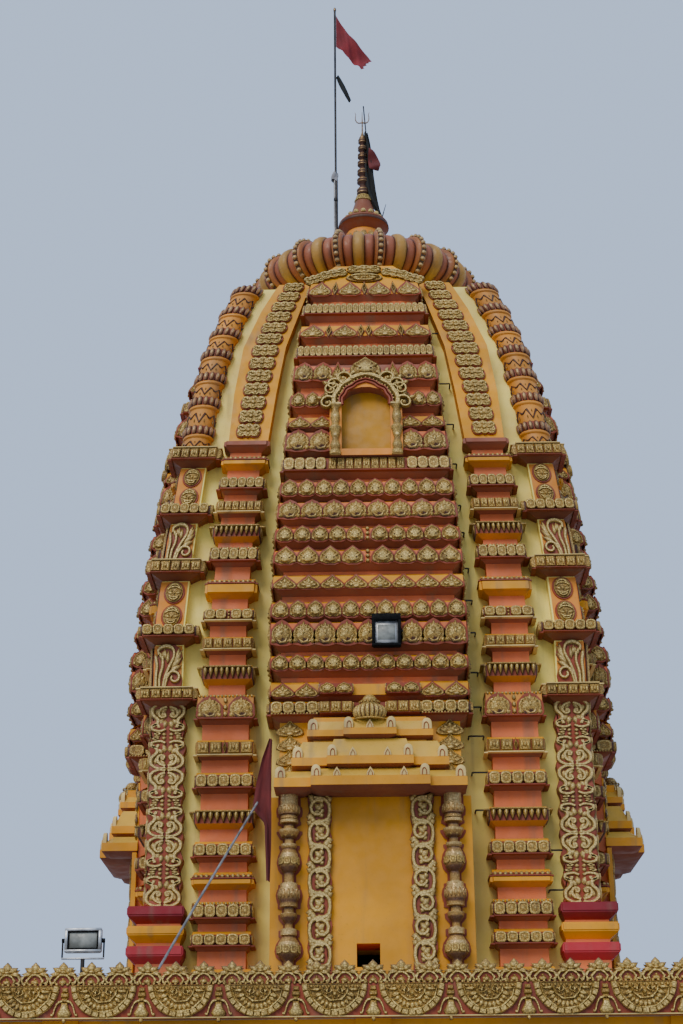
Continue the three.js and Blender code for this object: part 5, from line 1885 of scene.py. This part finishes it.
def doorway():
    """A carved frame round the sanctum's doorway."""
    piece, face = "door_frame", 3.0
    for sign in SIDES:
        x = sign * 0.70
        plank(piece, 0, face, (x - 0.09, x + 0.09, -0.01, 0.05, 0.1503, 2.42), "maroon", 0.01, False)
        for i in range(8):
            leaf = moved(CARVING["vine"], sx=sign * (1 if i % 2 else -1))
            put(piece, leaf, 0, x, face + 0.04, 0.22 + i * 0.25, 0.15, 0.25, 0.035, lean=False)
    row(piece, 0, 2.30, 2.46, -0.62, 0.62, face, times("crest", 5), 0.06, lean=False)
    plank(piece, 0, face, (-0.82, 0.82, -0.01, 0.07, 2.5, 2.58), "ochre", 0.015, False)


# Cloths


def cloth_piece(name, finish, high, wide, place):
    """A thin curved sheet of high by wide cells. place(t, s) is where the share t of its height and s of
    its width lie."""
    points = [place(i / high, j / wide) for i in range(high + 1) for j in range(wide + 1)]
    mesh = bpy.data.meshes.new(name)
    mesh.from_pydata(points, [], quads(high + 1, wide + 1, closed=False))
    mesh.shade_smooth()
    return finished(name, mesh, finish)


def between(path, s):
    """A point at the share s of the path's length."""
    path = np.array(path, float)
    along = np.concatenate([[0], np.cumsum(np.linalg.norm(np.diff(path, axis=0), axis=1))])
    return [float(np.interp(s * along[-1], along, path[:, i])) for i in range(path.shape[1])]


def across(first, second, s, t):
    """The point at the share t of the way from the first path to the second, both at their share s."""
    return [a + (b - a) * t for a, b in zip(between(first, s), between(second, s))]


def flag():
    """The red pennant: its hoist on the pole, its fly drooping in folds towards a torn point."""
    high = [(0, 20.77), (0.15, 20.50), (0.294, 20.25), (0.443, 20.07), (0.585, 19.86)]
    low = [(0, 20.14), (0.11, 20.02), (0.22, 19.89), (0.33, 19.77), (0.43, 19.66)]

    def place(t, s):
        x, z = across(high, low, s, t)
        fold = 0.04 * math.sin(8.5 * s + 2.4 * t) + 0.018 * math.sin(19 * s - 5 * t)
        tear = 0.02 * math.sin(23 * t) * max(0.0, s - 0.9) * 10
        return x - 0.42 + tear, fold * min(1, s * 4), z

    return cloth_piece("red_pennant", "red_cloth", 16, 28, place)


def streamer():
    """The black streamer, twisted as it hangs beside the pole."""
    path = [(-0.012, 19.54), (0.03, 19.42), (0.09, 19.26), (0.15, 19.12), (0.20, 19.03)]

    def place(t, s):
        x, z = between(path, t)
        wide = 0.05 + 0.04 * math.sin(math.pi * t)
        return x - 0.42 + s * wide * 0.85, 0.02 * math.sin(5 * s + 6 * t), z + s * wide * 0.45

    return cloth_piece("black_streamer", "black_cloth", 20, 6, place)


def hanging(name, finish, cells, edges, depth, folds, drop):
    """A cloth hanging in folds. edges has heights and the x of its left and right edge at each of them,
    and each fold is (size, how fast it goes round across the cloth, and down it)."""
    levels = edges[0]

    def place(t, s):
        z = levels[-1] - (levels[-1] - levels[0]) * t
        left, right = graph(z, *edges)
        wave = sum(size * math.sin(a * s + b * z) for size, a, b in folds)
        return left + (right - left) * s, depth - wave, z - drop * s

    return cloth_piece(name, finish, cells, 10, place)


def spire_black_cloth():
    """A black cloth hanging down the spire's right side from the leaning rod."""
    edges = (
        [16.82, 16.97, 17.13, 17.32, 17.60, 17.9, 18.2, 18.43],
        [0.255, 0.16, 0.08, 0.03, 0.03, 0.03, 0.03, 0.03],
        [0.315, 0.265, 0.235, 0.205, 0.175, 0.165, 0.13, 0.085],
    )
    return hanging("spire_black_cloth", "black_cloth", 30, edges, -0.05, [(0.03, 9, 5), (0.012, 21, -9)], 0.03)


def spire_red_cloth():
    """A red cloth over the black one."""
    top = [(0.105, 18.08), (0.195, 17.98), (0.25, 17.89), (0.285, 17.80), (0.29, 17.72)]
    foot = [(0.085, 17.87), (0.095, 17.76), (0.105, 17.67), (0.17, 17.655), (0.255, 17.65)]

    def place(t, s):
        x, z = across(top, foot, s, t)
        return x, -0.10 - 0.03 * math.sin(7 * s + 4 * t), z

    return cloth_piece("spire_red_cloth", "dark_red_cloth", 14, 16, place)


def tie_cloth():
    """The pale cloth knotted round the pole's joint."""

    def place(t, s):
        a = 2 * math.pi * 1.02 * s
        r = 0.036 + 0.012 * math.sin(3 * a + 4 * t) + 0.014 * math.sin(math.pi * t) - 0.02 * math.cos(a) * t
        return -0.45 + r * math.cos(a), r * math.sin(a), 17.67 - 0.15 * t + 0.02 * math.sin(2 * a)

    return cloth_piece("pole_tie", "pale_cloth", 8, 24, place)


def leaning_cloth():
    """A dark red cloth caught between the pole's head and the niche, its free end hanging down."""
    edges = (
        [5.57, 6.0, 6.25, 6.38, 6.45, 6.75, 7.05, 7.31],
        [-1.26, -1.275, -1.285, -1.39, -1.43, -1.385, -1.32, -1.235],
        [-1.215, -1.20, -1.20, -1.20, -1.205, -1.205, -1.205, -1.20],
    )
    return hanging("leaning_cloth", "dark_red_cloth", 40, edges, -3.56, [(0.022, 8, 3), (0.008, 19, -7)], 0.02)


def build():
    dress_frame()
    centre_carvings()
    side_carvings()
    corner_carvings()
    corner_bells()
    niche_carvings()
    upper_niches()
    crown_pieces()
    ribbed_disc()
    bell_cap()
    spire()
    flag_pole_details()
    # A thin pole stands on the roof, its head against the front niche
    tube("leaning_pole", [(-2.51, -6.158, 3.656), (-1.945, -4.88, 5.09), (-1.37, -3.6, 6.50)], 0.014, "steel", 10)
    tower_lamp()
    roof_lamp()
    step_irons()
    parapets()
    column_dressing()
    doorway()
    made = build_pieces()
    stand = {"ribbed_disc": "disc_ribs", "bell_cap": "cap_body", "finial": "spire_metal", "flag_pole": "pole_fittings"}
    stand.update(tower_lamp="tower_lamp_body", roof_lamp="roof_lamp_body")
    stand.update({f"{part}_{side}": f"{part}_carving_{side}" for part in ("niche", "parapet") for side in FACES})
    stand.update({f"corner_bells_{corner}": f"bells_{corner}" for corner in CORNERS})
    for name, piece in stand.items():
        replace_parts(next(iter(made[piece].values())), name)
    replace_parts(made["niche_carving_front"]["maroon"], "niche_front_foot")
    red, black, spire_black, spire_red = flag(), streamer(), spire_black_cloth(), spire_red_cloth()
    tie, caught = tie_cloth(), leaning_cloth()
    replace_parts(red, "flag")
    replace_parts(black, "streamer")


place_camera()
set_stage()
build()
